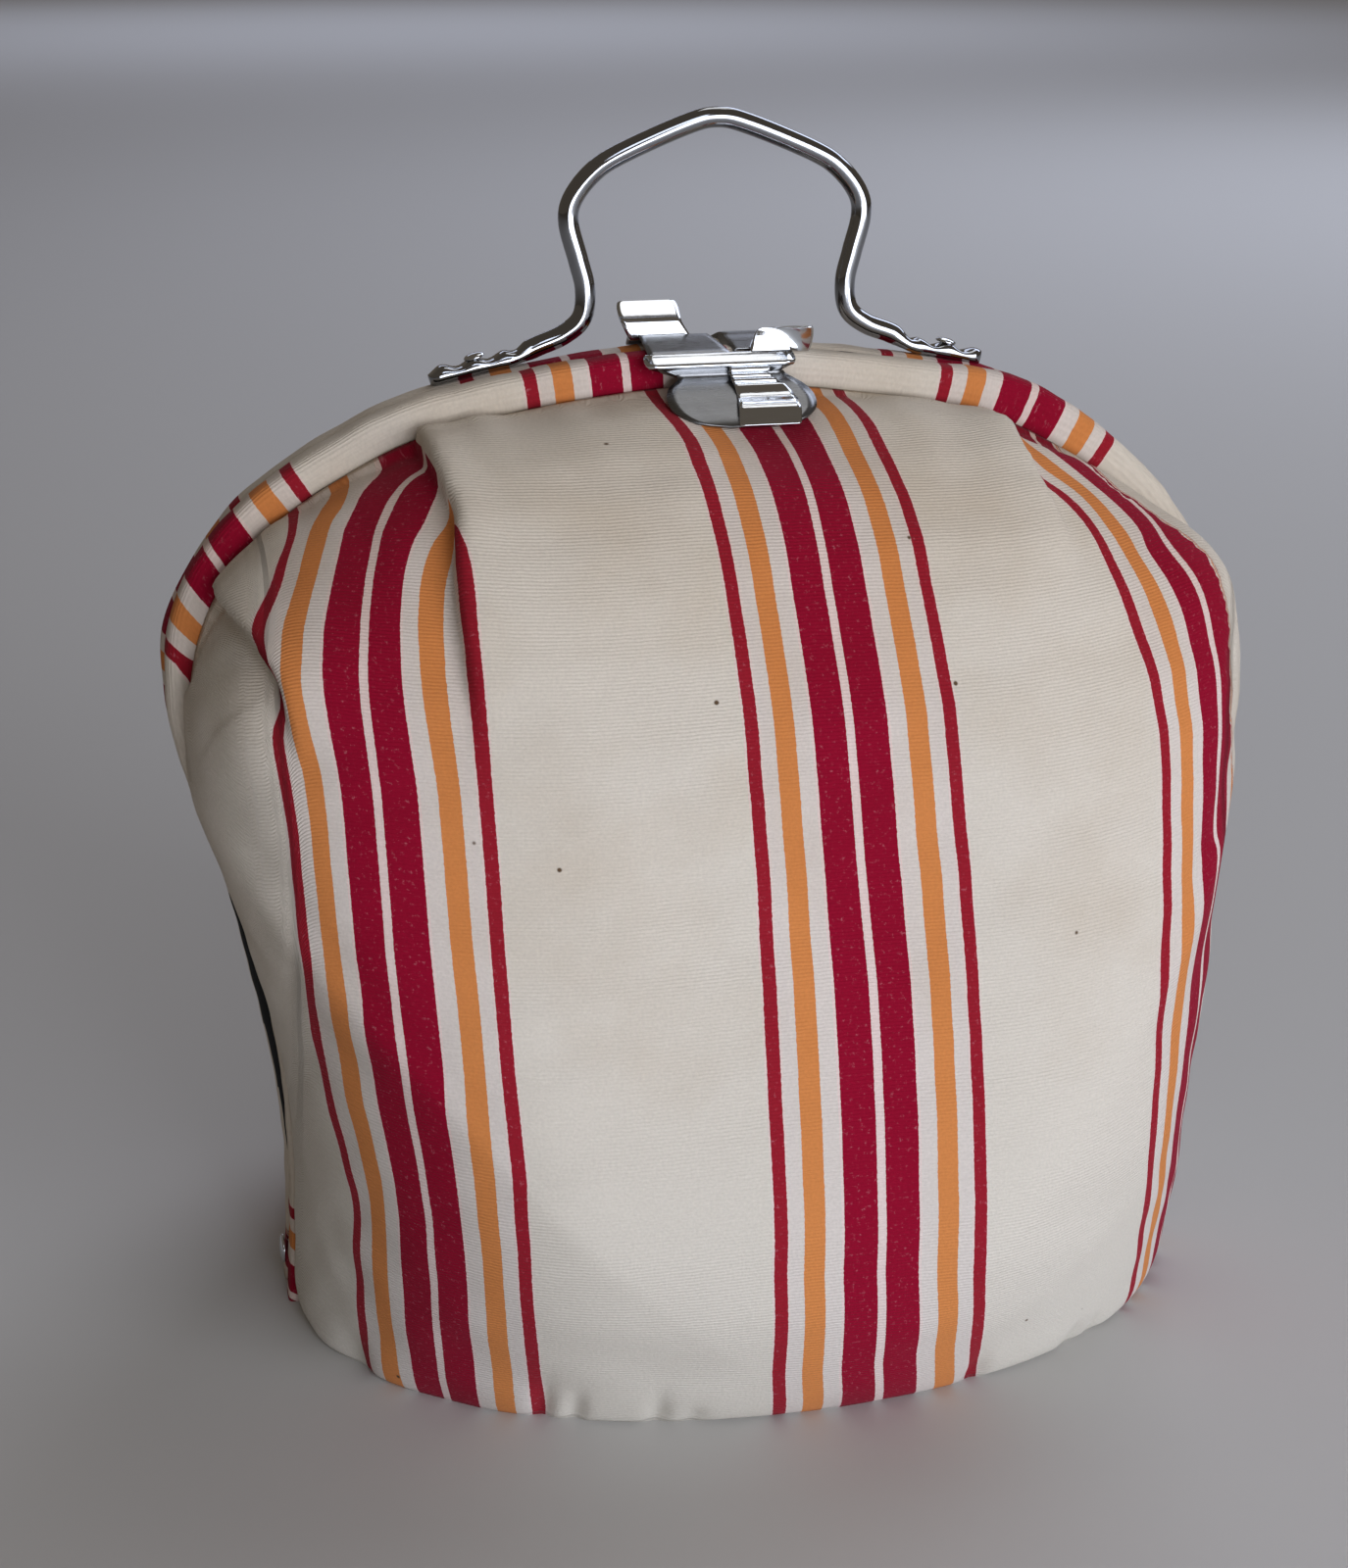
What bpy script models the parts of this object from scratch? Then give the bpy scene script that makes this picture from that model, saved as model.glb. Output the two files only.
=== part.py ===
"""Tea cosy in the form of a purse, standing on its hem.

Two padded half-shells of striped cloth are pleated into two half-hoop rims.
The rims meet in the plane y = 0, are pinned together at the base corners,
and are held shut by a clasp of two pressed jaws. A wire handle stands on the
rear rim. Metres, +Z up, the front faces -Y, and the hem lies at z = 0.
"""

from math import cos, pi, radians, sin
from typing import NamedTuple

import bpy
import numpy as np

MM = 0.001

# The outer edge of the rims, right half, seen from the front: (half-width, height).
ARCH = np.array([
    (133, 0), (129.5, 45), (130, 85), (136, 125), (146.5, 160), (151, 186),
    (146, 210), (130.5, 233), (105, 251.5), (70, 265.5), (0, 274),
]) * MM
BASE_LEAN = 5 * MM  # the base stands this far to the right of the arch
LEAN_HEIGHT = 170 * MM
REAR_BOW = 2 * MM  # the rear half bows this far to the left at the slit
SHOULDER_SHIFT = (-2.2 * MM, 1.5 * MM)  # how far the front and rear arches lie to the right
SHOULDER_TURN = (185 * MM, 225 * MM)
SLIT = 3 * MM  # the widest gap between the two halves, at the same height
SLIT_HEIGHT = 95 * MM
SLIT_SPREAD = 45 * MM

# The padded half-shells.
DEPTH = 105 * MM
BELLY = 0.17
BELLY_HEIGHT = 60 * MM
BELLY_SPREAD = 60 * MM
SIDE_FULLNESS = 2.62  # exponent of the plan: 2 is an ellipse, more is boxier
HEM_FULLNESS = 2.1
HEM_TUCK = 0.07  # the hem draws in by this share of the depth
HEM_TUCK_HEIGHT = 50 * MM
TOP_FULLNESS = 2.3
TOP_SHARE = 6  # how narrow the top's own fullness is
HEM_ROUND = 80 * MM
CORE = (131 * MM, 262 * MM)  # stretch of the dome's grid about the middle of its hem
WALL = 9 * MM
HEM_ROLL = 5 * MM
HEM_ROLL_HEIGHT = 12 * MM
HEM_ROLL_INNER = 1.5 * MM
SEAM_INSET_TOP = 9.5 * MM  # how far below the rim's outer edge the cloth leaves it
SEAM_INSET_SIDE = 1.5 * MM
SEAM_TURN = (158 * MM, 186 * MM)  # heights between which the inset changes
FOLD_EDGE = 4 * MM  # half the width over which a pleat's lip steps down
FOLD_POINTS = 40
FOLD_HOLD = 0.35  # share of a pleat's length that keeps its full height
SEAM_CLEAR = 6 * MM  # puffs and pleats fade out over this distance from the rim
SHELL_COLUMNS = 54
SHELL_ROWS = 22
HEM_ROWS = (0, 0.012, 0.03, 0.055)  # shares of the way up, close together in the roll
FIRST_ROW = 0.09
CURVE_STEPS = 24

# The rims: a cloth casing on a thin hoop.
RIM_DEPTH = 11.2 * MM
RIM_HEIGHT = 11 * MM
RIM_HEIGHT_SIDE = 8 * MM
RIM_SQUARENESS = 0.62  # exponent of the section: 1 is an ellipse, less is squarer
RIM_STATIONS = 64
RIM_SIDES = 10
GAP = 0.35 * MM
FOOT_RISE = 20 * MM  # the hoops stand upright on their feet up to here

# The handle: one bent wire whose feet are pressed flat on the rear rim.
HANDLE_X = 4 * MM
HANDLE_Y = 5.8 * MM
WIRE_RADIUS = 2.8 * MM
# The wire's middle line, right half, seen from the front: (half-width, height).
HANDLE_LINE = np.array([
    (0, 333.0), (9, 331.0), (27, 323.6), (34.4, 318.8), (39.6, 312.2), (40.6, 306),
    (38.2, 296.5), (36.4, 288.5), (37.4, 281), (42.5, 276.6), (50, 273.6),
]) * MM
# Each foot's half-widths at its neck, rivet and tip.
FOOT_REACH = {-1: (57 * MM, 67 * MM, 79.5 * MM), 1: (56 * MM, 66 * MM, 76 * MM)}
FOOT_HALF_HEIGHT = 1.8 * MM
FOOT_HALF_WIDTH = 3.7 * MM
FOOT_CLEAR = 0.4 * MM
FOOT_BLEND = 6 * MM
FOOT_TOP = 280 * MM
TIP_ROUND = 3 * MM
TIP_NARROW = 0.3
HANDLE_STATIONS = 85
HANDLE_SIDES = 10
RIVET_RADIUS = 2.6 * MM
RIVET_DOME = 1.5 * MM
RIVET_CLEAR = 0.6 * MM
RIVET_TILT = radians(15)
HINGE_HEIGHT = 12 * MM
HINGE_RADIUS = 4.2 * MM
HINGE_DOME = 1.6 * MM
HINGE_CLEAR = 0.55 * MM
DOME_SIDES = 14
DOME_STEPS = 4
DOME_EDGE = 0.25  # share of a head's height that its upright edge takes

# The clasp: two alike jaws of pressed sheet, turned half round from each other.
CLASP_X = 1.5 * MM
SHEET = 0.8 * MM


class Fold(NamedTuple):
    """A pleat that starts at the rim and fades out, seen from the front."""

    x0: float
    z0: float
    x1: float
    z1: float
    x2: float
    z2: float
    step: float  # height of its lip over the cloth beside it
    width: float  # how far the lip and the trough reach
    lip: int  # 1 when the right side lies over the left one, -1 the other way


class Puff(NamedTuple):
    """A place where the padding stands out (height > 0) or is pressed in."""

    x: float
    z: float
    radius: float
    height: float


FRONT_FOLDS = (
    Fold(-82, 253, -79, 236, -77, 178, step=16, width=20, lip=1),
    Fold(-137, 216, -128, 208, -120, 184, step=15, width=16, lip=1),
    Fold(-143, 196, -146, 180, -147, 160, step=5, width=10, lip=1),
    Fold(80, 251, 82, 236, 80, 214, step=7, width=14, lip=-1),
    Fold(84, 249, 103, 239, 126, 225, step=6, width=12, lip=-1),
)
FRONT_PUFFS = (
    Puff(127, 211, radius=21, height=11),
    Puff(-128, 196, radius=16, height=3),
    Puff(4, 261, radius=22, height=-5.5),
    Puff(134, 110, radius=32, height=3.5),
    Puff(136, 68, radius=48, height=8),
    Puff(-100, 238, radius=14, height=-2.5),
)
REAR_FOLDS = (
    Fold(76, 255, 79, 238, 82, 176, step=13, width=20, lip=-1),
    Fold(133, 220, 126, 210, 121, 182, step=12, width=16, lip=-1),
    Fold(-84, 250, -83, 236, -80, 208, step=10, width=18, lip=1),
    Fold(-128, 226, -122, 214, -118, 190, step=9, width=14, lip=1),
)
REAR_PUFFS = (
    Puff(-122, 224, radius=18, height=4),
    Puff(126, 200, radius=18, height=3),
    Puff(-2, 261, radius=22, height=-5.5),
)


class JawRow(NamedTuple):
    """A line across a jaw: how far out and up it lies, and its two ends."""

    out: float
    up: float
    left: float
    right: float


# From the lower edge of the face plate, over the rolled ridge, to the ear's top.
JAW_PLATE = (
    JawRow(32.6, 257.0, -4, 13), JawRow(31.8, 257.7, -9, 17), JawRow(29.9, 258.9, -13, 21),
    JawRow(26.6, 260.8, -15.5, 24), JawRow(22.8, 262.9, -16, 25), JawRow(19.0, 264.7, -14, 23.5),
    JawRow(16.4, 266.0, -11, 20), JawRow(14.9, 267.2, -10, 18),
)
JAW_RIDGE = (
    JawRow(14.4, 268.0, -15, 17), JawRow(15.4, 269.4, -20, 21), JawRow(15.8, 271.2, -20.5, 21.5),
    JawRow(15.2, 272.8, -20.5, 21.5), JawRow(13.6, 274.1, -20, 21), JawRow(11.6, 274.5, -18, 19.5),
)
FRONT_EAR = (
    JawRow(5.0, 274.5, -12, 19.5), JawRow(3.6, 274.8, 6, 21), JawRow(2.9, 276.2, 7.5, 23.5),
    JawRow(3.2, 277.8, 9, 25), JawRow(4.2, 278.8, 10, 25.3), JawRow(5.6, 279.4, 11, 24.6),
)
REAR_EAR = (
    JawRow(5.0, 274.5, -12, 19.5), JawRow(3.4, 274.8, -3, 21), JawRow(2.6, 276.6, -1, 22),
    JawRow(2.4, 278.6, 7.5, 24.6), JawRow(3.2, 280.6, 8.6, 25.2), JawRow(4.6, 282.8, 8.8, 25.4),
    JawRow(5.2, 284.6, 9.2, 25.1), JawRow(5.2, 285.6, 10.4, 24),
)
JAW_COLUMNS = 10


def smooth_step(value, low, high):
    """0 below low, 1 above high, and an even S between them."""
    t = np.clip((value - low) / (high - low), 0, 1)
    return t * t * (3 - 2 * t)


def smooth_line(points, count):
    """An even Catmull-Rom curve of count points through the given ones."""
    points = np.asarray(points, float)
    ends = np.vstack([2 * points[0] - points[1], points, 2 * points[-1] - points[-2]])
    t = np.linspace(0, len(points) - 1, CURVE_STEPS * len(points))
    i = np.minimum(t.astype(int), len(points) - 2)
    f = (t - i)[:, None]
    p0, p1, p2, p3 = (ends[i + k] for k in range(4))
    curve = 0.5 * (2 * p1 + (p2 - p0) * f + (2 * p0 - 5 * p1 + 4 * p2 - p3) * f**2
                   + (3 * p1 - p0 - 3 * p2 + p3) * f**3)
    run = np.r_[0, np.cumsum(np.linalg.norm(np.diff(curve, axis=0), axis=1))]
    even = np.linspace(0, run[-1], count)
    return np.column_stack([np.interp(even, run, column) for column in curve.T])


def whole_line(half, count):
    """A right-hand half line, from its foot up to the middle, with its mirror."""
    half = np.asarray(half)
    return smooth_line(np.vstack([half, half[-2::-1] * (-1, 1)]), count)


ARCH_LINE = whole_line(ARCH, 400)
ARCH_ANGLE = np.arctan2(ARCH_LINE[:, 1], ARCH_LINE[:, 0])
ARCH_RADIUS = np.hypot(ARCH_LINE[:, 0], ARCH_LINE[:, 1])
UPPER_ARCH = ARCH_LINE[(ARCH_LINE[:, 0] >= 0) & (ARCH_LINE[:, 1] > 240 * MM)][::-1]
LOWER_ARCH = ARCH_LINE[(ARCH_LINE[:, 0] > 0) & (ARCH_LINE[:, 1] < 60 * MM)]


def arch_radius(angle):
    """Distance from the middle of the base to the rims' outer edge."""
    return np.interp(angle, ARCH_ANGLE, ARCH_RADIUS)


def drift(z, side):
    """How far the outline of one half (side -1 front, 1 rear) lies to the right."""
    lean = BASE_LEAN * (1 - smooth_step(z, 0, LEAN_HEIGHT))
    bow = REAR_BOW * np.exp(-(((z - SLIT_HEIGHT) / SLIT_SPREAD) ** 2))
    shoulder = SHOULDER_SHIFT[int(side > 0)] * smooth_step(z, *SHOULDER_TURN)
    return lean + shoulder - bow * (side > 0)


def slit(z):
    """The gap between the halves: closed at the top, open lower down."""
    return GAP + SLIT * np.exp(-(((z - SLIT_HEIGHT) / SLIT_SPREAD) ** 2))


def seam_inset(z):
    """How far inside the arch the cloth leaves the rim."""
    return SEAM_INSET_SIDE + (SEAM_INSET_TOP - SEAM_INSET_SIDE) * smooth_step(z, *SEAM_TURN)


def dome_points(a, b, inset, side):
    """Points of a half-shell, from the square (a across, b up) to the dome.

    The map is the elliptical one from a square to a hemisphere, stretched to
    the arch: a runs from -90 to 90 degrees and b from 0 at the hem to 90.
    """
    across = np.sin(a) * np.sqrt(1 - np.sin(b) ** 2 / 2)
    up = np.sin(b) * np.sqrt(1 - np.sin(a) ** 2 / 2)
    radius = seam_radius(np.arctan2(up, across)) - inset
    rim = np.clip(across**2 + up**2, 0, 1)
    x = across * (CORE[0] * (1 - rim) + radius * rim)
    z = up * (CORE[1] * (1 - rim) + radius * rim)
    y = side * dome_depth(x, z, inset)
    return np.stack([x + drift(z, side), y, z], axis=-1)


def seam_radius(angle):
    """Distance from the middle of the base to the seam between cloth and rim."""
    outer = arch_radius(angle)
    return outer - seam_inset(outer * np.sin(angle))


def dome_depth(x, z, inset):
    """How far from y = 0 a shell stands at x, z of its own arch."""
    seam = RIM_DEPTH + GAP
    angle = np.arctan2(z, x)
    reach = np.clip(np.hypot(x, z) / (seam_radius(angle) - inset), 0, 1)
    low = smooth_step(z, 0, HEM_ROUND)
    power = HEM_FULLNESS + (SIDE_FULLNESS - HEM_FULLNESS) * low
    power = power + (TOP_FULLNESS - power) * np.sin(angle) ** TOP_SHARE * low
    dome = (1 - reach**power) ** (1 / power)
    belly = 1 + BELLY * np.exp(-(((z - BELLY_HEIGHT) / BELLY_SPREAD) ** 2))
    tuck = 1 - HEM_TUCK * np.clip(1 - z / HEM_TUCK_HEIGHT, 0, 1) ** 2
    return seam + (DEPTH - inset - seam) * dome * belly * tuck


def on_dome(x, z, side):
    """The outer point of a half-shell that is seen at x, z from the front."""
    return np.stack([x, side * dome_depth(x - drift(z, side), z, 0), z], axis=-1)


def normals_of(grid):
    """Unit normals of a grid of points: first axis across, second axis up."""
    across = np.gradient(grid, axis=0)
    up = np.gradient(grid, axis=1)
    normal = np.cross(across, up)
    return normal / np.maximum(np.linalg.norm(normal, axis=-1, keepdims=True), 1e-9)


def fold_height(points, normals, fold, side, edge):
    """Height of one pleat at each point: a lip on one side, a trough on the other."""
    ends = np.array([(fold.x0, fold.z0), (fold.x1, fold.z1), (fold.x2, fold.z2)]) * MM
    line = smooth_line(ends, FOLD_POINTS)
    path = on_dome(line[:, 0], line[:, 1], side)
    tangent = np.gradient(path, axis=0)
    tangent /= np.linalg.norm(tangent, axis=1, keepdims=True)
    away = points[..., None, :] - path
    nearest = np.argmin((away**2).sum(axis=-1), axis=-1)
    gap = np.take_along_axis(away, nearest[..., None, None], axis=-2)[..., 0, :]
    run = tangent[nearest]
    sideways = np.cross(normals, run)
    offset = (gap * sideways).sum(axis=-1) * np.sign(sideways[..., 0]) * fold.lip
    beyond = np.abs((gap * run).sum(axis=-1))
    fade = 1 - smooth_step(nearest / (FOLD_POINTS - 1), FOLD_HOLD, 1)
    width = fold.width * MM
    bell = np.exp(-np.abs(offset) / width) * np.exp(-((beyond / width) ** 2))
    return fold.step * MM / 2 * np.tanh(offset / edge) * bell * fade


def outer_points(a, b, side, folds, puffs, edge):
    """The outer face of a half-shell with its pleats and puffs."""
    grid = dome_points(a, b, 0, side)
    normal = normals_of(grid) * (1 if side < 0 else -1)
    clear = smooth_step(np.abs(grid[..., 1]) - RIM_DEPTH, 0, SEAM_CLEAR)
    height = sum(fold_height(grid, normal, fold, side, edge) for fold in folds)
    for puff in puffs:
        centre = on_dome(np.array(puff.x * MM), np.array(puff.z * MM), side)
        distance = np.linalg.norm(grid - centre, axis=-1)
        height = height + puff.height * MM * np.exp(-((distance / (puff.radius * MM)) ** 2))
    return grid + normal * (height * clear)[..., None]


def shell_mesh(side, folds, puffs):
    """Vertices and faces of one closed, padded half-shell."""
    a_line = np.linspace(-pi / 2, pi / 2, SHELL_COLUMNS + 1)
    rows = np.r_[HEM_ROWS, np.linspace(FIRST_ROW, 1, SHELL_ROWS - len(HEM_ROWS) + 1)]
    a, b = np.meshgrid(a_line, rows * pi / 2, indexing="ij")
    outer = outer_points(a, b, side, folds, puffs, FOLD_EDGE)
    inner = dome_points(a, b, WALL, side)
    turn = 1 - np.sqrt(1 - np.clip(1 - outer[..., 2:] / HEM_ROLL_HEIGHT, 0, 1) ** 2)
    rolled = outer + (inner - outer) * turn * HEM_ROLL / WALL
    inner = inner + (outer - inner) * turn * HEM_ROLL_INNER / WALL
    rolled[:, 0, 2] = inner[:, 0, 2] = 0
    columns, count = a.shape
    vertices = np.concatenate([rolled.reshape(-1, 3), inner.reshape(-1, 3)])
    index = np.arange(columns * count).reshape(columns, count)
    back = index + columns * count
    faces = []
    for i in range(columns - 1):
        for j in range(count - 1):
            faces.append((index[i, j], index[i + 1, j], index[i + 1, j + 1], index[i, j + 1]))
            faces.append((back[i, j], back[i, j + 1], back[i + 1, j + 1], back[i + 1, j]))
        faces.append((index[i, 0], back[i, 0], back[i + 1, 0], index[i + 1, 0]))
        faces.append((index[i, -1], index[i + 1, -1], back[i + 1, -1], back[i, -1]))
    for j in range(count - 1):
        faces.append((index[0, j], index[0, j + 1], back[0, j + 1], back[0, j]))
        faces.append((index[-1, j], back[-1, j], back[-1, j + 1], index[-1, j + 1]))
    if side > 0:
        faces = [face[::-1] for face in faces]
    return vertices, faces


def sweep_mesh(sections, inward=False):
    """Vertices and faces of a closed tube through rings of equal length."""
    rings, sides = len(sections), len(sections[0])
    vertices = np.concatenate(sections)
    faces = [tuple(range(sides))[::-1], tuple(range((rings - 1) * sides, rings * sides))]
    for i in range(rings - 1):
        for k in range(sides):
            here, there = i * sides, (i + 1) * sides
            turn = (k + 1) % sides
            faces.append((here + k, here + turn, there + turn, there + k))
    if inward:
        faces = [face[::-1] for face in faces]
    return vertices, faces


def rim_mesh(side):
    """One half-hoop rim in its casing, from one base corner to the other."""
    sections = []
    for (x, z), (run_x, run_z) in zip(*line_and_run(whole_line(ARCH, RIM_STATIONS + 1)[::-1])):
        z = max(z, 0.0)
        run_x *= smooth_step(z, 0, FOOT_RISE)
        full = smooth_step(z, *SEAM_TURN)
        height = RIM_HEIGHT_SIDE + (RIM_HEIGHT - RIM_HEIGHT_SIDE) * full
        near = slit(z) / 2
        ring = []
        for k in range(RIM_SIDES):
            turn = 2 * pi * (k + 0.5) / RIM_SIDES
            inward = height / 2 * (1 - np.sign(cos(turn)) * abs(cos(turn)) ** RIM_SQUARENESS)
            bulge = np.sign(sin(turn)) * abs(sin(turn)) ** RIM_SQUARENESS
            y = (near + RIM_DEPTH) / 2 + (RIM_DEPTH - near) / 2 * bulge
            ring.append((x + run_z * inward + drift(z, side), side * y, z - run_x * inward))
        sections.append(np.array(ring))
    return sweep_mesh(sections, inward=side > 0)


def handle_sections():
    """Rings along the wire: round in the bail, pressed flat in the feet."""
    rings = []
    for (x, z), (run_x, run_z) in zip(*line_and_run(handle_line())):
        neck, _, tip = FOOT_REACH[1 if x > 0 else -1]
        flat = smooth_step(abs(x), neck - FOOT_BLEND, neck) if z < FOOT_TOP else 0.0
        high = WIRE_RADIUS + (FOOT_HALF_HEIGHT - WIRE_RADIUS) * flat
        wide = WIRE_RADIUS + (FOOT_HALF_WIDTH - WIRE_RADIUS) * flat
        beyond = np.clip((abs(x) - tip + TIP_ROUND) / TIP_ROUND, 0, 1) * flat
        wide *= TIP_NARROW + (1 - TIP_NARROW) * (1 - beyond**2) ** 0.5
        ring = []
        for k in range(HANDLE_SIDES):
            turn = 2 * pi * k / HANDLE_SIDES
            up = high * cos(turn)
            ring.append((HANDLE_X + x - run_z * up, HANDLE_Y + wide * sin(turn), z + run_x * up))
        rings.append(np.array(ring))
    return rings


def handle_line():
    """The wire's middle line, from the left foot's tip to the right one's."""
    halves = []
    for sign in (-1, 1):
        neck, _, tip = FOOT_REACH[sign]
        foot = [(half, foot_height(half, sign)) for half in np.linspace(neck, tip, 7)]
        halves.append(np.array(list(HANDLE_LINE) + foot) * (sign, 1))
    return smooth_line(np.vstack([halves[0][::-1], halves[1][1:]]), HANDLE_STATIONS)


def line_and_run(line):
    """A line's points and the unit direction it runs in at each of them."""
    run = np.gradient(line, axis=0)
    return line, run / np.linalg.norm(run, axis=1, keepdims=True)


def foot_height(half_width, sign):
    """Height of the pressed foot's middle line where it lies on the rear rim."""
    x = HANDLE_X + sign * half_width - SHOULDER_SHIFT[1]
    on_rim = np.interp(abs(x), UPPER_ARCH[:, 0], UPPER_ARCH[:, 1])
    return on_rim + FOOT_HALF_HEIGHT + FOOT_CLEAR


def jaw_object(name, side, ear, material):
    """One clasp jaw: a lofted strip of sheet, thickened to its gauge."""
    rows = JAW_PLATE + JAW_RIDGE + ear
    vertices = []
    for row in rows:
        for t in np.linspace(0, 1, JAW_COLUMNS + 1):
            x = row.left + (row.right - row.left) * t
            vertices.append((CLASP_X - side * x * MM, side * row.out * MM, row.up * MM))
    faces = []
    wide = JAW_COLUMNS + 1
    for i in range(len(rows) - 1):
        for k in range(JAW_COLUMNS):
            corner = i * wide + k
            faces.append((corner, corner + 1, corner + wide + 1, corner + wide))
    jaw = mesh_object(name, vertices, faces, material)
    thick = jaw.modifiers.new("Gauge", "SOLIDIFY")
    thick.thickness = SHEET
    thick.offset = 1
    return jaw


def turned_dome(name, radius, height, material):
    """A rivet head: a low dome with a flat base, turned about its own Z."""
    profile = [(0, height)]
    for k in range(1, DOME_STEPS + 1):
        turn = pi / 2 * k / DOME_STEPS
        profile.append((radius * sin(turn), height * (DOME_EDGE + (1 - DOME_EDGE) * cos(turn))))
    profile += [(radius, 0), (0, 0)]
    sides = DOME_SIDES
    vertices = [(r * cos(2 * pi * s / sides), r * sin(2 * pi * s / sides), z)
                for r, z in profile[1:-1] for s in range(sides)]
    top, base = len(vertices), len(vertices) + 1
    vertices += [(0, 0, profile[0][1]), (0, 0, 0)]
    faces = []
    for s in range(sides):
        turn = (s + 1) % sides
        faces.append((top, s, turn))
        for ring in range(len(profile) - 3):
            here, there = ring * sides, (ring + 1) * sides
            faces.append((here + s, there + s, there + turn, here + turn))
        last = (len(profile) - 3) * sides
        faces.append((base, last + turn, last + s))
    return mesh_object(name, vertices, faces, material)


def mesh_object(name, vertices, faces, material):
    """A mesh object in the cosy's collection."""
    mesh = bpy.data.meshes.new(name)
    mesh.from_pydata([tuple(map(float, v)) for v in vertices], [], [tuple(map(int, f)) for f in faces])
    mesh.materials.append(material)
    mesh.shade_smooth()
    obj = bpy.data.objects.new(name, mesh)
    bpy.data.collections["tea_cosy"].objects.link(obj)
    return obj


def finish(name, colour, roughness, metallic):
    """A plain Principled material."""
    material = bpy.data.materials.new(name)
    material.use_nodes = True
    shader = material.node_tree.nodes["Principled BSDF"]
    shader.inputs["Base Color"].default_value = (*colour, 1)
    shader.inputs["Roughness"].default_value = roughness
    shader.inputs["Metallic"].default_value = metallic
    return material


def clear_scene():
    """Remove every object and make the cosy's own collection."""
    for obj in list(bpy.data.objects):
        bpy.data.objects.remove(obj, do_unlink=True)
    collection = bpy.data.collections.new("tea_cosy")
    bpy.context.scene.collection.children.link(collection)


def main():
    """Build every piece of the cosy."""
    clear_scene()
    cloth = finish("striped_cotton", (0.68, 0.61, 0.47), 0.85, 0.0)
    casing = finish("striped_casing", (0.55, 0.32, 0.27), 0.85, 0.0)
    chrome = finish("chromed_steel", (0.62, 0.62, 0.63), 0.15, 1.0)
    zinc = finish("bright_sheet", (0.55, 0.56, 0.58), 0.22, 1.0)
    halves = (
        ("front", -1, FRONT_FOLDS, FRONT_PUFFS, FRONT_EAR),
        ("rear", 1, REAR_FOLDS, REAR_PUFFS, REAR_EAR),
    )
    for name, side, folds, puffs, ear in halves:
        mesh_object(f"{name}_shell", *shell_mesh(side, folds, puffs), cloth)
        mesh_object(f"{name}_rim", *rim_mesh(side), casing)
        jaw_object(f"{name}_clasp", side, ear, zinc)
    mesh_object("handle", *sweep_mesh(handle_sections(), inward=True), chrome)
    for name, sign in (("left", -1), ("right", 1)):
        rivet = turned_dome(f"handle_rivet_{name}", RIVET_RADIUS, RIVET_DOME, zinc)
        at = FOOT_REACH[sign][1]
        top = foot_height(at, sign) + FOOT_HALF_HEIGHT + RIVET_CLEAR
        rivet.location = (HANDLE_X + sign * at, HANDLE_Y, top)
        rivet.rotation_euler = (0, sign * RIVET_TILT, 0)
        pin = turned_dome(f"hinge_{name}", HINGE_RADIUS, HINGE_DOME, zinc)
        edge = np.interp(HINGE_HEIGHT, LOWER_ARCH[:, 1], LOWER_ARCH[:, 0])
        pin.location = (sign * (edge + HINGE_CLEAR) + drift(HINGE_HEIGHT, -1), 0, HINGE_HEIGHT)
        pin.rotation_euler = (0, sign * pi / 2, 0)


main()
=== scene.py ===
"""A padded, purse-form tea cosy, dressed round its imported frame.

Two half-shells of striped ribbed cotton are pleated into two cased half-hoop
rims, which a clasp of pressed sheet holds shut. A chromed wire handle stands
on the rear rim. Metres, +Z up; the front half-shell looks along -Y.
"""

import logging
from collections.abc import Callable
from dataclasses import dataclass, field
from enum import Enum
from functools import partial
from math import cos, pi, radians, sin

import bpy
import numpy as np
from bpy.types import Material, Node, NodeSocket, NodeTree, Object, bpy_prop_collection
from mathutils import Matrix, Vector


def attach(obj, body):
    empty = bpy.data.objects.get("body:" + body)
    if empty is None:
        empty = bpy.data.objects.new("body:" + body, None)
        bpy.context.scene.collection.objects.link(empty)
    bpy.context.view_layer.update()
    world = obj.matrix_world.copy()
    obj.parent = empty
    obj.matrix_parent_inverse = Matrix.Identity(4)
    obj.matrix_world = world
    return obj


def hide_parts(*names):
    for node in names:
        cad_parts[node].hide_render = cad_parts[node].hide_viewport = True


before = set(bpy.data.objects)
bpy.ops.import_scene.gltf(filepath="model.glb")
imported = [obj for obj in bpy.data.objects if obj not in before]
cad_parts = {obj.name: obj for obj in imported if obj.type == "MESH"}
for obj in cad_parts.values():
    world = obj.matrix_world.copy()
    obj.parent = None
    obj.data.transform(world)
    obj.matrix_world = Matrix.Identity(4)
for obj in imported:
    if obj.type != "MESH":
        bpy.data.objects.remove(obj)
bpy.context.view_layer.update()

MM = 0.001
PHOTO_WIDTH = 1375
PHOTO_HEIGHT = 1600
PATTERN = 118.0  # mm from one group of stripes to the next across the cloth
CLASP_MIDDLE = 1.5  # mm to the right of x = 0
CURVE_STEPS = 40  # for each point of a curve, while it is drawn
NOISE_WAVES = 14  # summed for one soft undulation
NOISE_LENGTHS = (0.7, 1.5)  # of those waves, as shares of the undulation's scale
NOISE_CREST = 1.6  # how many mean deviations its crests rise
log = logging.getLogger("tea_cosy")


class Side(Enum):
    """The two halves of the cosy: the sign of y on which each one lies."""

    FRONT = -1
    REAR = 1

    @property
    def label(self) -> str:
        """The word that the frame's nodes start with."""
        return self.name.lower()


class Area(Enum):
    """Material slots of a half-shell: the striped cover and the plain inside."""

    COVER = 0
    INSIDE = 1


# ---------------------------------------------------------------- small tools


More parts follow.
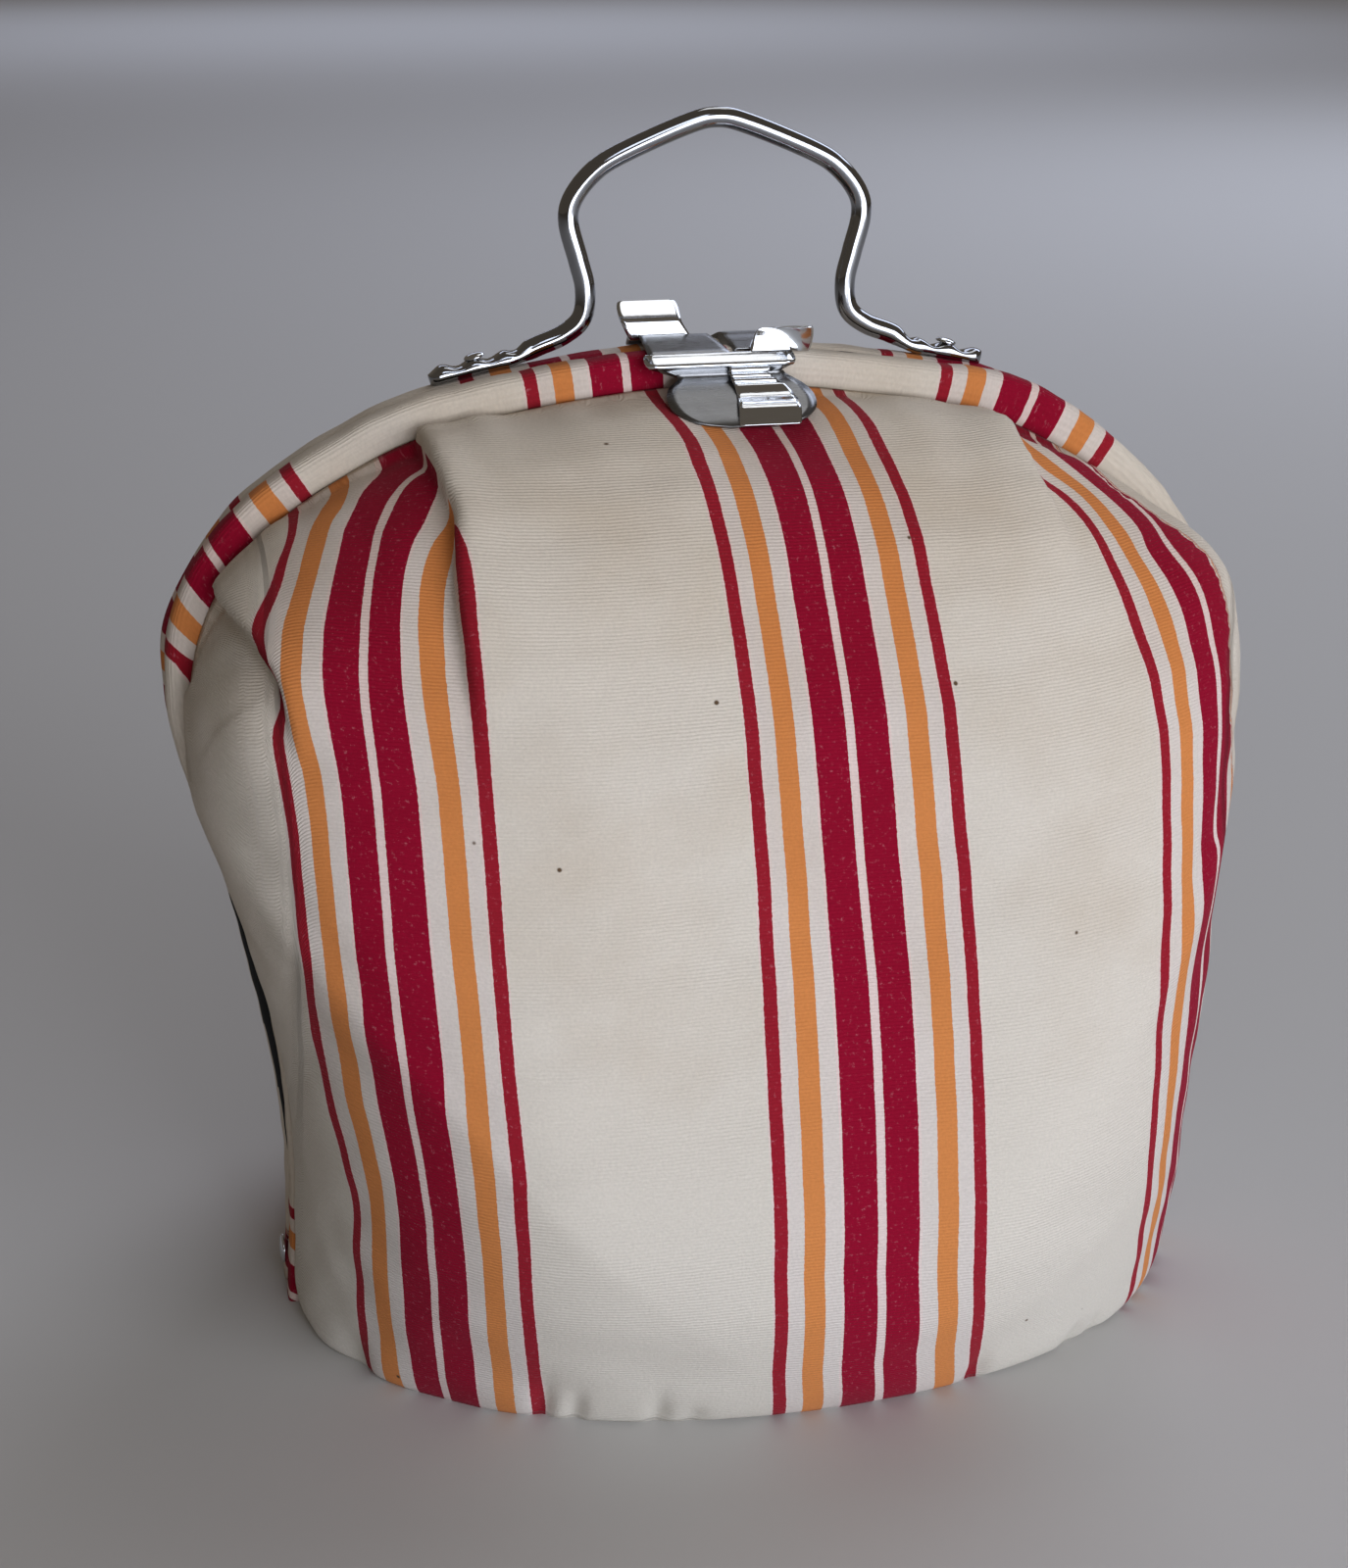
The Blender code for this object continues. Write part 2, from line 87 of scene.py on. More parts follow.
def smooth_step(value: np.ndarray, low: float, high: float) -> np.ndarray:
    """0 below low, 1 above high, and an even S between them.

    Args:
        value: Where to read the step.
        low: Value at which the step starts.
        high: Value at which it ends.

    Returns:
        The step's height, from 0 to 1.
    """
    t = np.clip((value - low) / (high - low), 0, 1)
    return t * t * (3 - 2 * t)


def hill(value: np.ndarray, width: float) -> np.ndarray:
    """A round hill: 1 where the value is 0, about a third at one width."""
    return np.exp(-((value / width) ** 2))


def fuller(wave: np.ndarray, power: np.ndarray | float) -> np.ndarray:
    """A sine or cosine made fuller by a power below 1, its sign kept."""
    return np.sign(wave) * np.abs(wave) ** power


def runs_of(line: np.ndarray) -> np.ndarray:
    """The unit direction in which a line runs at each of its points."""
    run = np.gradient(line, axis=0)
    return run / np.linalg.norm(run, axis=1, keepdims=True)


def length_along(line: np.ndarray) -> np.ndarray:
    """The distance from a line's first point to each of its points."""
    return np.r_[0, np.cumsum(np.linalg.norm(np.diff(line, axis=0), axis=1))]


def smooth_line(points: np.ndarray, count: int) -> np.ndarray:
    """An even Catmull-Rom curve through points of any dimension.

    Args:
        points: The points to pass through, one a row.
        count: How many points the curve gets.

    Returns:
        The curve, one point a row.
    """
    points = np.asarray(points, float)
    ends = np.vstack([2 * points[0] - points[1], points, 2 * points[-1] - points[-2]])
    t = np.linspace(0, len(points) - 1, CURVE_STEPS * len(points))
    i = np.minimum(t.astype(int), len(points) - 2)
    f = (t - i)[:, None]
    p0, p1, p2, p3 = (ends[i + k] for k in range(4))
    curve = 0.5 * (2 * p1 + (p2 - p0) * f + (2 * p0 - 5 * p1 + 4 * p2 - p3) * f**2
                   + (3 * p1 - p0 - 3 * p2 + p3) * f**3)
    run = length_along(curve)
    even = np.linspace(0, run[-1], count)
    return np.column_stack([np.interp(even, run, column) for column in curve.T])


def soft_noise(points: np.ndarray, scale: float, seed: int) -> np.ndarray:
    """A smooth, seeded undulation: a sum of plane waves in many directions.

    Args:
        points: Places, in the last axis.
        scale: Typical distance from crest to crest, in metres.
        seed: Which undulation.

    Returns:
        Values of about -1 to 1.
    """
    rng = np.random.default_rng(seed)
    total = np.zeros(points.shape[:-1])
    for _ in range(NOISE_WAVES):
        way = rng.normal(size=3)
        way *= 2 * pi / (scale * rng.uniform(*NOISE_LENGTHS) * np.linalg.norm(way))
        total += np.sin(points @ way + rng.uniform(0, 2 * pi))
    return total / np.sqrt(NOISE_WAVES / 2) / NOISE_CREST


def grid_faces(index: np.ndarray, flip: bool = False) -> list[list[int]]:
    """Four-cornered faces over a grid of vertex numbers.

    Args:
        index: The numbers, by row and column.
        flip: Whether the faces look the other way.

    Returns:
        The faces, row by row.
    """
    corners = [index[:-1, :-1], index[:-1, 1:], index[1:, 1:], index[1:, :-1]]
    if flip:
        corners[1], corners[3] = corners[3], corners[1]
    return np.stack(corners, axis=-1).reshape(-1, 4).tolist()


def tube_faces(rings: int, sides: int, inward: bool = False) -> list[list[int]]:
    """Faces of a closed tube through rings of equal length.

    Args:
        rings: How many rings there are.
        sides: Vertices in each ring.
        inward: Whether the rings turn the other way round.

    Returns:
        The faces, ends included.
    """
    index = np.arange(rings * sides).reshape(rings, sides)
    faces = [index[0, ::-1].tolist(), index[-1].tolist()]
    faces += grid_faces(np.c_[index, index[:, :1]])
    return [face[::-1] for face in faces] if inward else faces


def mesh_object(name: str, vertices: np.ndarray, faces: list, *finishes: Material) -> Object:
    """A smooth-shaded mesh object in the scene.

    Args:
        name: The piece's name.
        vertices: Its points, in metres.
        faces: Its faces.
        finishes: Its materials, in slot order.

    Returns:
        The object.
    """
    mesh = bpy.data.meshes.new(name)
    mesh.from_pydata(np.asarray(vertices, float).tolist(), [], [tuple(map(int, f)) for f in faces])
    mesh.shade_smooth()
    for material in finishes:
        mesh.materials.append(material)
    obj = bpy.data.objects.new(name, mesh)
    bpy.context.scene.collection.objects.link(obj)
    return obj


def write_cloth(obj: Object, *columns: np.ndarray) -> None:
    """Store the cloth's own coordinates on a mesh, for the striped cotton.

    Args:
        obj: The mesh object.
        columns: Nine numbers for each of its first vertices: the distance
        across the cloth in fields 0, 1 and 2; the same in field 3, the
        distance up the cloth and the stain with its painted shade and
        painted cool light; the side of each crease.
    """
    count = len(obj.data.vertices)
    flat = [np.pad(c.reshape(-1), (0, count - c.size)).astype(np.float32) for c in columns]
    for k, name in enumerate(("fields", "cloth", "creases")):
        attribute = obj.data.attributes.new(name, "FLOAT_VECTOR", "POINT")
        attribute.data.foreach_set("vector", np.column_stack(flat[3 * k:3 * k + 3]).reshape(-1))


def settle(obj: Object, node: str) -> None:
    """Ride a piece on the cosy and report it.

    Args:
        obj: The piece.
        node: The CAD node that it stands for.
    """
    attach(obj, "root")
    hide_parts(node)
    log.info("%s: %d faces", obj.name, len(obj.data.polygons))


# ------------------------------------------------------------------- finishes


def colour(code: str) -> tuple[float, float, float, float]:
    """Turn an sRGB hex code into the linear colour that the shaders use.

    Args:
        code: Six hex digits after a hash sign.

    Returns:
        Red, green, blue and alpha.
    """
    parts = (int(code[i:i + 2], 16) / 255 for i in (1, 3, 5))
    linear = [c / 12.92 if c <= 0.04045 else ((c + 0.055) / 1.055) ** 2.4 for c in parts]
    return (*linear, 1.0)


def plug(node: Node, inputs: dict | list | tuple) -> None:
    """Give a node's inputs their values and links.

    Args:
        node: The node.
        inputs: A value or another node's output for each input, in order or
            by name or place.
    """
    for key, value in inputs.items() if isinstance(inputs, dict) else enumerate(inputs):
        if isinstance(value, NodeSocket):
            node.id_data.links.new(value, node.inputs[key])
        else:
            node.inputs[key].default_value = value


def add_node(tree: NodeTree, kind: str, inputs: dict | list | tuple = (),
             **settings: str) -> bpy_prop_collection:
    """Add a shader node with its settings and links.

    Args:
        tree: The material's node tree.
        kind: The node's type, without its ShaderNode prefix.
        inputs: A value or another node's output for each input, as in plug.
        settings: The node's own properties.

    Returns:
        The node's outputs.
    """
    node = tree.nodes.new("ShaderNode" + kind)
    for name, value in settings.items():
        setattr(node, name, value)
    plug(node, inputs)
    return node.outputs


def blank_material(name: str) -> tuple[Material, Callable, Node]:
    """Start a material.

    Args:
        name: Its name.

    Returns:
        The material, the function that adds a node to it, and its Principled shader.
    """
    material = bpy.data.materials.new(name)
    material.use_nodes = True
    tree = material.node_tree
    return material, partial(add_node, tree), tree.nodes["Principled BSDF"]


@dataclass(frozen=True)
class StripedCotton:
    """Furnishing cotton, woven with a weft rib and dyed warp stripes.

    The rib gives the eye fine ridges across the stripes, and the dull yarn a
    soft sheen. Each group of stripes is alike on both sides of its white line.
    """

    name: str
    cream: str = "#D6CEC2"
    pale: str = "#D6CCC4"  # the ground between the stripes of one group
    crimson: str = "#8F0328"
    red: str = "#961A2A"
    orange: str = "#D2854A"
    edge: str = "#E0CCC6"  # the light yarn beside each stripe
    stain_and_shade: str = "#BFA57A"  # the brown of faint cloudy stains, and of stain with painted shade beside a seam
    hem_cool_light: tuple = (0.975, 1.015, 1.05, 1.0)  # painted cool light, multiplied in near the hem
    fleck: str = "#5A4632"  # small dark specks
    lint: str = "#D08592"  # worn yarns in the crimson
    rib: float = 0.95  # mm; the real rib is 0.87 mm, drawn coarser so that it shows
    rib_height: float = 0.12  # mm
    fuzz: float = 0.22  # mm, how far a stripe's edge wanders with the yarns
    uneven: float = 0.6  # how far the ribs wander, in ribs
    slub: float = 2.4  # how high the thick places of the yarn stand, in half ribs
    rib_strength: float = 0.9
    lint_share: float = 0.5
    seam_stain_and_shade: float = 0.4
    cloud_stain: float = 0.2
    tones: tuple = (0.93, 1.05)  # of uneven yarns
    # The values of each pattern between which it comes to show.
    lint_range: tuple = (0.58, 0.7)
    vivid_range: tuple = (0.9, 0.97)  # saturation, which tells crimson from the rest
    cloud_range: tuple = (0.42, 0.72)
    speck_range: tuple = (0.035, 0.02)
    tone_range: tuple = (0.25, 0.75)
    # How many features of each pattern come to 1 mm of cloth.
    fuzz_scale: float = 0.9
    lint_scale: float = 0.7
    cloud_scale: float = 0.022
    speck_scale: float = 0.045
    tone_scale: float = 1.3
    uneven_scale: float = 0.25
    slub_scale: float = 1.1
    roughness: float = 0.88
    sheen: float = 0.03
    sheen_roughness: float = 0.5
    specular: float = 0.12
    # Distance in mm from a group's white line at which each colour starts.
    layout: tuple = (
        (0.0, "edge"), (1.0, "crimson"), (10.1, "edge"), (10.75, "pale"), (15.2, "orange"),
        (20.7, "pale"), (24.5, "edge"), (25.0, "red"), (28.4, "edge"), (28.95, "cream"),
    )

    def material(self) -> Material:
        """Build the material, from the attributes fields, cloth and creases.

        Returns:
            The material.
        """
        made, add, shader = blank_material(self.name)
        fields, cloth, crease = (
            add("SeparateXYZ", [add("Attribute", attribute_name=name)["Vector"]])
            for name in ("fields", "cloth", "creases")
        )
        across = self._choose(add, (*fields[:3], cloth[0]), crease)
        place = add("CombineXYZ", [across, cloth[1]])[0]
        yarn = add("TexNoise", {"Vector": place, "Scale": self.fuzz_scale, "Detail": 3.0})["Fac"]
        wander = add("MapRange", [yarn, 0, 1, -self.fuzz, self.fuzz])[0]
        across = add("Math", [across, wander], operation="ADD")[0]
        plug(shader, {
            "Base Color": self._wear_and_painted_light(add, self._stripes(add, across), place, cloth[2]),
            "Normal": self._ribs(add, cloth[1], place),
            "Roughness": self.roughness, "Sheen Weight": self.sheen,
            "Sheen Roughness": self.sheen_roughness, "Specular IOR Level": self.specular,
        })
        return made

    def _choose(self, add: Callable, fields: tuple, crease: tuple) -> NodeSocket:
        """The distance across the cloth, in the field on this side of each crease.

        Args:
            add: Adds a node to the material.
            fields: The distance as each of the four fields has it.
            crease: The side of each of the three creases, right being positive.

        Returns:
            The distance, in mm.
        """
        chosen = fields[0]
        for k, following in enumerate(fields[1:]):
            beyond = add("Math", [crease[k], 0], operation="GREATER_THAN")[0]
            chosen = add("Mix", {"Factor": beyond, 2: chosen, 3: following}, data_type="FLOAT")[0]
        return chosen

    def _stripes(self, add: Callable, across: NodeSocket) -> NodeSocket:
        """The woven colours.

        Args:
            add: Adds a node to the material.
            across: The distance across the cloth, in mm.

        Returns:
            The colour.
        """
        half = PATTERN / 2
        turn = add("Math", [across, -half, half], operation="WRAP")[0]
        off = add("Math", [turn], operation="ABSOLUTE")[0]
        share = add("Math", [off, half], operation="DIVIDE")[0]
        woven = add("ValToRGB", [share])["Color"]
        ramp = woven.node.color_ramp
        ramp.interpolation = "CONSTANT"
        stops = ramp.elements
        for k, (start, shade) in enumerate(self.layout):
            stop = stops[k] if k < 2 else stops.new(start / half)  # a new ramp has two
            stop.position = start / half
            stop.color = colour(getattr(self, shade))
        return woven

    def _wear_and_painted_light(self, add: Callable, shade: NodeSocket, place: NodeSocket,
              seam: NodeSocket) -> NodeSocket:
        """Lint in the crimson, stain and painted shade, painted cool light at the hem, specks,
        uneven yarns.

        Args:
            add: Adds a node to the material.
            shade: The woven colours.
            place: Where on the cloth, in mm.
            seam: From -1 at the hem to 1 at a seam: below 0 the share of painted cool light, above
                it of stain and painted shade.

        Returns:
            The colour.
        """
        lint = add("TexNoise", {"Vector": place, "Scale": self.lint_scale, "Detail": 5.0,
                                "Roughness": 0.75})["Fac"]
        lint = add("MapRange", [lint, *self.lint_range, 0, self.lint_share])[0]
        vivid = add("SeparateColor", [shade], mode="HSV")[1]
        vivid = add("MapRange", [vivid, *self.vivid_range])[0]
        lint = add("Math", [lint, vivid], operation="MULTIPLY")[0]
        cloud = add("TexNoise", {"Vector": place, "Scale": self.cloud_scale, "Detail": 4.0})["Fac"]
        cloud = add("MapRange", [cloud, *self.cloud_range, 0, self.cloud_stain])[0]
        # Stain with painted shade beside a seam, and stain alone in the clouds.
        stain_and_shade = add("Math", [seam, self.seam_stain_and_shade, cloud], operation="MULTIPLY_ADD")[0]
        # Painted cool light: bluer and less yellow towards the hem.
        hem_cool_light = add("Math", [seam, -1], operation="MULTIPLY")[0]
        hem_cool_light = add("Clamp", [hem_cool_light])[0]
        speck = add("TexVoronoi", {"Vector": place, "Scale": self.speck_scale}, feature="F1")[0]
        speck = add("MapRange", [speck, *self.speck_range])[0]
        for share, over, blend in ((lint, colour(self.lint), "MIX"),
                                   (stain_and_shade, colour(self.stain_and_shade), "MULTIPLY"),
                                   (hem_cool_light, self.hem_cool_light, "MULTIPLY"),
                                   (speck, colour(self.fleck), "MIX")):
            shade = add("Mix", {"Factor": share, 6: shade, 7: over},
                        data_type="RGBA", blend_type=blend)[2]
        tone = add("TexNoise", {"Vector": place, "Scale": self.tone_scale, "Detail": 2.0})["Fac"]
        tone = add("MapRange", [tone, *self.tone_range, *self.tones])[0]
        return add("VectorMath", {0: shade, "Scale": tone}, operation="SCALE")[0]

    def _ribs(self, add: Callable, along: NodeSocket, place: NodeSocket) -> NodeSocket:
        """The weft rib's bump, a little uneven from yarn to yarn.

        Args:
            add: Adds a node to the material.
            along: The distance up the cloth, in mm.
            place: Where on the cloth, in mm.

        Returns:
            The normal.
        """
        uneven = add("TexNoise", {"Vector": place, "Scale": self.uneven_scale,
                                  "Detail": 3.0})["Fac"]
        phase = add("Math", [uneven, self.rib * self.uneven, along], operation="MULTIPLY_ADD")[0]
        phase = add("Math", [phase, 2 * pi / self.rib], operation="MULTIPLY")[0]
        wave = add("Math", [phase], operation="SINE")[0]
        slub = add("TexNoise", {"Vector": place, "Scale": self.slub_scale, "Detail": 2.0})["Fac"]
        high = add("Math", [slub, self.slub, wave], operation="MULTIPLY_ADD")[0]
        return add("Bump", {"Height": high, "Distance": self.rib_height * MM / 2,
                            "Strength": self.rib_strength})[0]


@dataclass(frozen=True)
class PlainCotton:
    """Unprinted cotton inside the cosy: matt, with a plain fine weave."""

    name: str = "plain_cotton_inside"
    shade: str = "#CFC6B2"
    grain: float = 1.2  # mm between the threads, drawn coarse so that they show
    thread: float = 0.2  # mm, how high they stand
    tones: tuple = (0.82, 1.08)  # of the threads, against the shade
    roughness: float = 0.92

    def material(self) -> Material:
        """Build the material.

        Returns:
            The material.
        """
        made, add, shader = blank_material(self.name)
        place = add("TexCoord")["Object"]
        weave = add("TexNoise", {"Vector": place, "Scale": 1 / (self.grain * MM),
                                 "Detail": 2.0})["Fac"]
        tone = add("MapRange", [weave, 0, 1, *self.tones])[0]
        shade = add("VectorMath", {0: colour(self.shade)[:3], "Scale": tone},
                    operation="SCALE")[0]
        bump = add("Bump", {"Height": weave, "Distance": self.thread * MM})[0]
        plug(shader, {"Base Color": shade, "Normal": bump, "Roughness": self.roughness})
        return made


@dataclass(frozen=True)
class ChromedWire:
    """Bright chromed steel wire: a hard mirror with faint haze from handling."""

    name: str = "chromed_steel_wire"
    shade: str = "#9A9CA0"
    roughness: float = 0.05
    haze: float = 0.1  # the roughness where it is hazy
    haze_range: tuple = (0.35, 0.75)  # values of the smears between which it gets so
    smear: float = 7.0  # mm, the size of the hazy places

    def material(self) -> Material:
        """Build the material.

        Returns:
            The material.
        """
        made, add, shader = blank_material(self.name)
        place = add("TexCoord")["Object"]
        smear = add("TexNoise", {"Vector": place, "Scale": 1 / (self.smear * MM),
                                 "Detail": 5.0})["Fac"]
        rough = add("MapRange", [smear, *self.haze_range, self.roughness, self.haze])[0]
        plug(shader, {"Base Color": colour(self.shade), "Metallic": 1.0, "Roughness": rough})
        return made


@dataclass(frozen=True)
class PressedSheet:
    """Plated sheet steel, pressed: a slightly wavy mirror with fine scratches."""

    name: str = "bright_plated_sheet"
    shade: str = "#CDD0D4"
    roughness: float = 0.09
    haze: float = 0.07  # how much rougher the scratches are
    haze_range: tuple = (0.35, 0.7)  # values of the scratches between which they get so
    wave: float = 6.0  # mm between the faint waves that pressing leaves
    wave_height: float = 0.12  # mm
    wave_strength: float = 0.5
    scratch: float = 0.5  # mm between the fine scratches, drawn coarse so that they show
    scratch_height: float = 0.005  # as a share of the waves'
    scratch_way: tuple = (0.08, 1.0, 1.0)  # they run along x

    def material(self) -> Material:
        """Build the material.

        Returns:
            The material.
        """
        made, add, shader = blank_material(self.name)
        place = add("TexCoord")["Object"]
        wave = add("TexNoise", {"Vector": place, "Scale": 1 / (self.wave * MM),
                                "Detail": 2.0})["Fac"]
        place = add("Mapping", {"Vector": place, "Scale": self.scratch_way})[0]
        scratch = add("TexNoise", {"Vector": place, "Scale": 1 / (self.scratch * MM),
                                   "Detail": 4.0})["Fac"]
        rough = (self.roughness, self.roughness + self.haze)
        rough = add("MapRange", [scratch, *self.haze_range, *rough])[0]
        height = add("Math", [scratch, self.scratch_height, wave], operation="MULTIPLY_ADD")[0]
        bump = add("Bump", {"Height": height, "Distance": self.wave_height * MM,
                            "Strength": self.wave_strength})[0]
        plug(shader, {"Base Color": colour(self.shade), "Metallic": 1.0,
                      "Roughness": rough, "Normal": bump})
        return made


@dataclass(frozen=True)
class MattFinish:
    """An even, matt surface, such as the floor, or the near-black painted shade between the rims.
    """

    name: str
    shade: str
    roughness: float

    def material(self) -> Material:
        """Build the material.

        Returns:
            The material.
        """
        made, _, shader = blank_material(self.name)
        plug(shader, {"Base Color": colour(self.shade), "Roughness": self.roughness})
        return made


# ---------------------------------------------------------------------- shape


@dataclass
class Arch:
    """The outline that both rims follow, and the dome that both shells fill."""

    # Right half of the outer edge, seen from the front: (half-width, height) in mm.
    half_outline: tuple = (
        (133, 0), (129.5, 45), (130, 85), (136, 125), (146.5, 160), (151, 186),
        (146, 210), (130.5, 233), (105, 251.5), (70, 265.5), (0, 274),
    )
    outline_points: int = 400
    base_lean: float = 5 * MM  # how far right the base stands
    lean_height: float = 170 * MM
    rear_bow: float = 3.2 * MM  # how far left the rear rim bows at the slit
    shoulder_shift: tuple = (-2.2 * MM, 1.5 * MM)  # of the front and the rear top
    shoulder_turn: tuple = (185 * MM, 225 * MM)
    gap: float = 0.35 * MM  # between the closed rims
    slit: float = 4.2 * MM  # how much wider it is where they gape
    slit_height: float = 102 * MM
    slit_spread: float = 45 * MM
    depth: float = 105 * MM
    belly: float = 0.17  # how much deeper the dome is, as a share
    belly_height: float = 60 * MM
    side_fullness: float = 2.62
    hem_fullness: float = 2.1
    hem_tuck: float = 0.08  # how much the hem draws in, as a share
    hem_tuck_height: float = 50 * MM
    top_fullness: float = 2.3
    top_reach: int = 6  # the higher, the nearer to the top that fullness starts
    hem_round: float = 80 * MM
    core: tuple = (131 * MM, 262 * MM)  # how far the grid's middle is spread, across and up
    seam_inset: tuple = (1.5 * MM, 9.5 * MM)  # at the side and at the top
    seam_turn: tuple = (158 * MM, 186 * MM)
    rim_depth: float = 11.2 * MM
    line: np.ndarray = field(init=False)
    angles: np.ndarray = field(init=False)
    radii: np.ndarray = field(init=False)

    def __post_init__(self) -> None:
        """Draw the whole outline from its right half."""
        self.line = self.whole(self.outline_points)
        self.angles = np.arctan2(self.line[:, 1], self.line[:, 0])
        self.radii = np.hypot(self.line[:, 0], self.line[:, 1])

    def whole(self, count: int) -> np.ndarray:
        """The outline from the right base over the top to the left one."""
        half = np.array(self.half_outline) * MM
        return smooth_line(np.vstack([half, half[-2::-1] * (-1, 1)]), count)

    def drift(self, z: np.ndarray, side: Side) -> np.ndarray:
        """How far the outline of one half lies to the right at some heights.

        Args:
            z: The heights.
            side: Which half.

        Returns:
            The distances.
        """
        lean = self.base_lean * (1 - smooth_step(z, 0, self.lean_height))
        bow = self.rear_bow * hill(z - self.slit_height, self.slit_spread)
        rear = side is Side.REAR
        shoulder = self.shoulder_shift[int(rear)] * smooth_step(z, *self.shoulder_turn)
        return lean + shoulder - bow * rear

    def opening(self, z: np.ndarray) -> np.ndarray:
        """The gap between the halves at height z."""
        return self.gap + self.slit * hill(z - self.slit_height, self.slit_spread)

    def seam_radius(self, angle: np.ndarray) -> np.ndarray:
        """Distance from the middle of the base to the seam of cloth and rim.

        Args:
            angle: The way to look from there, up from the right.

        Returns:
            The distance.
        """
        outer = np.interp(angle, self.angles, self.radii)
        low, high = self.seam_inset
        return outer - low - (high - low) * smooth_step(outer * np.sin(angle), *self.seam_turn)

    def dome_depth(self, x: np.ndarray, z: np.ndarray, inset: float) -> np.ndarray:
        """How far from y = 0 a shell stands.

        Args:
            x: Places across, from the middle of its own arch.
            z: Heights.
            inset: How far inside the outer face.

        Returns:
            The depths.
        """
        seam = self.rim_depth + self.gap
        angle = np.arctan2(z, x)
        reach = np.clip(np.hypot(x, z) / (self.seam_radius(angle) - inset), 0, 1)
        low = smooth_step(z, 0, self.hem_round)
        power = self.hem_fullness + (self.side_fullness - self.hem_fullness) * low
        power = power + (self.top_fullness - power) * np.sin(angle) ** self.top_reach * low
        dome = (1 - reach**power) ** (1 / power)
        belly = 1 + self.belly * hill(z - self.belly_height, self.belly_height)
        tuck = 1 - self.hem_tuck * np.clip(1 - z / self.hem_tuck_height, 0, 1) ** 2
        return seam + (self.depth - inset - seam) * dome * belly * tuck

    def dome_points(self, a: np.ndarray, b: np.ndarray, inset: float, side: Side) -> np.ndarray:
        """Points of a half-shell, from the square (a across, b up) to the dome.

        Args:
            a: From -90 to 90 degrees, from the left rim to the right one.
            b: From 0 at the hem to 90 degrees at the top.
            inset: How far inside the outer face.
            side: Which half.

        Returns:
            The points.
        """
        across = np.sin(a) * np.sqrt(1 - np.sin(b) ** 2 / 2)
        up = np.sin(b) * np.sqrt(1 - np.sin(a) ** 2 / 2)
        radius = self.seam_radius(np.arctan2(up, across)) - inset
        rim = np.clip(across**2 + up**2, 0, 1)
        x = across * (self.core[0] * (1 - rim) + radius * rim)
        z = up * (self.core[1] * (1 - rim) + radius * rim)
        y = side.value * self.dome_depth(x, z, inset)
        return np.stack([x + self.drift(z, side), y, z], axis=-1)

    def on_dome(self, x: np.ndarray, z: np.ndarray, side: Side) -> np.ndarray:
        """The outer point of a half-shell that is seen at x, z from the front."""
        y = side.value * self.dome_depth(x - self.drift(z, side), z, 0)
        return np.stack([x + 0 * y, y, z + 0 * y], axis=-1)


@dataclass(frozen=True)
class Pleat:
    """A pleat that starts at the rim and fades out; sizes in mm, seen from the front."""

    way: tuple  # (x, height) from the rim down
    step: float  # height of its lip over the cloth beside it
    width: float  # how far the lip and the trough reach
    lip: int  # 1 when the right side lies over the left one, -1 the other way
    edge: float = 1.6  # half the width over which the lip steps down
    lap: float = 1.5  # how far the lip hangs over the trough
    hold: float = 0.35  # share of its length that keeps its full height
    cut: float = 0.1  # how far its bell is lowered, so that it ends


@dataclass(frozen=True)
class Puff:
    """A place where the padding stands out or is pressed in; sizes in mm."""

    x: float
    z: float
    radius: float
    height: float


@dataclass(frozen=True)
class Pucker:
    """A small upright gather at the hem; sizes in mm."""

    x: float
    width: float
    height: float
    depth: float
    fade: float = 1.5  # how fast it gets shallower upwards


@dataclass(frozen=True)
class Stripe:
    """One stripe's way over the front half-shell, seen from the front, in mm."""

    across: float  # its place across the cloth, from the middle group's white line
    way: tuple  # (height, x) from the hem up


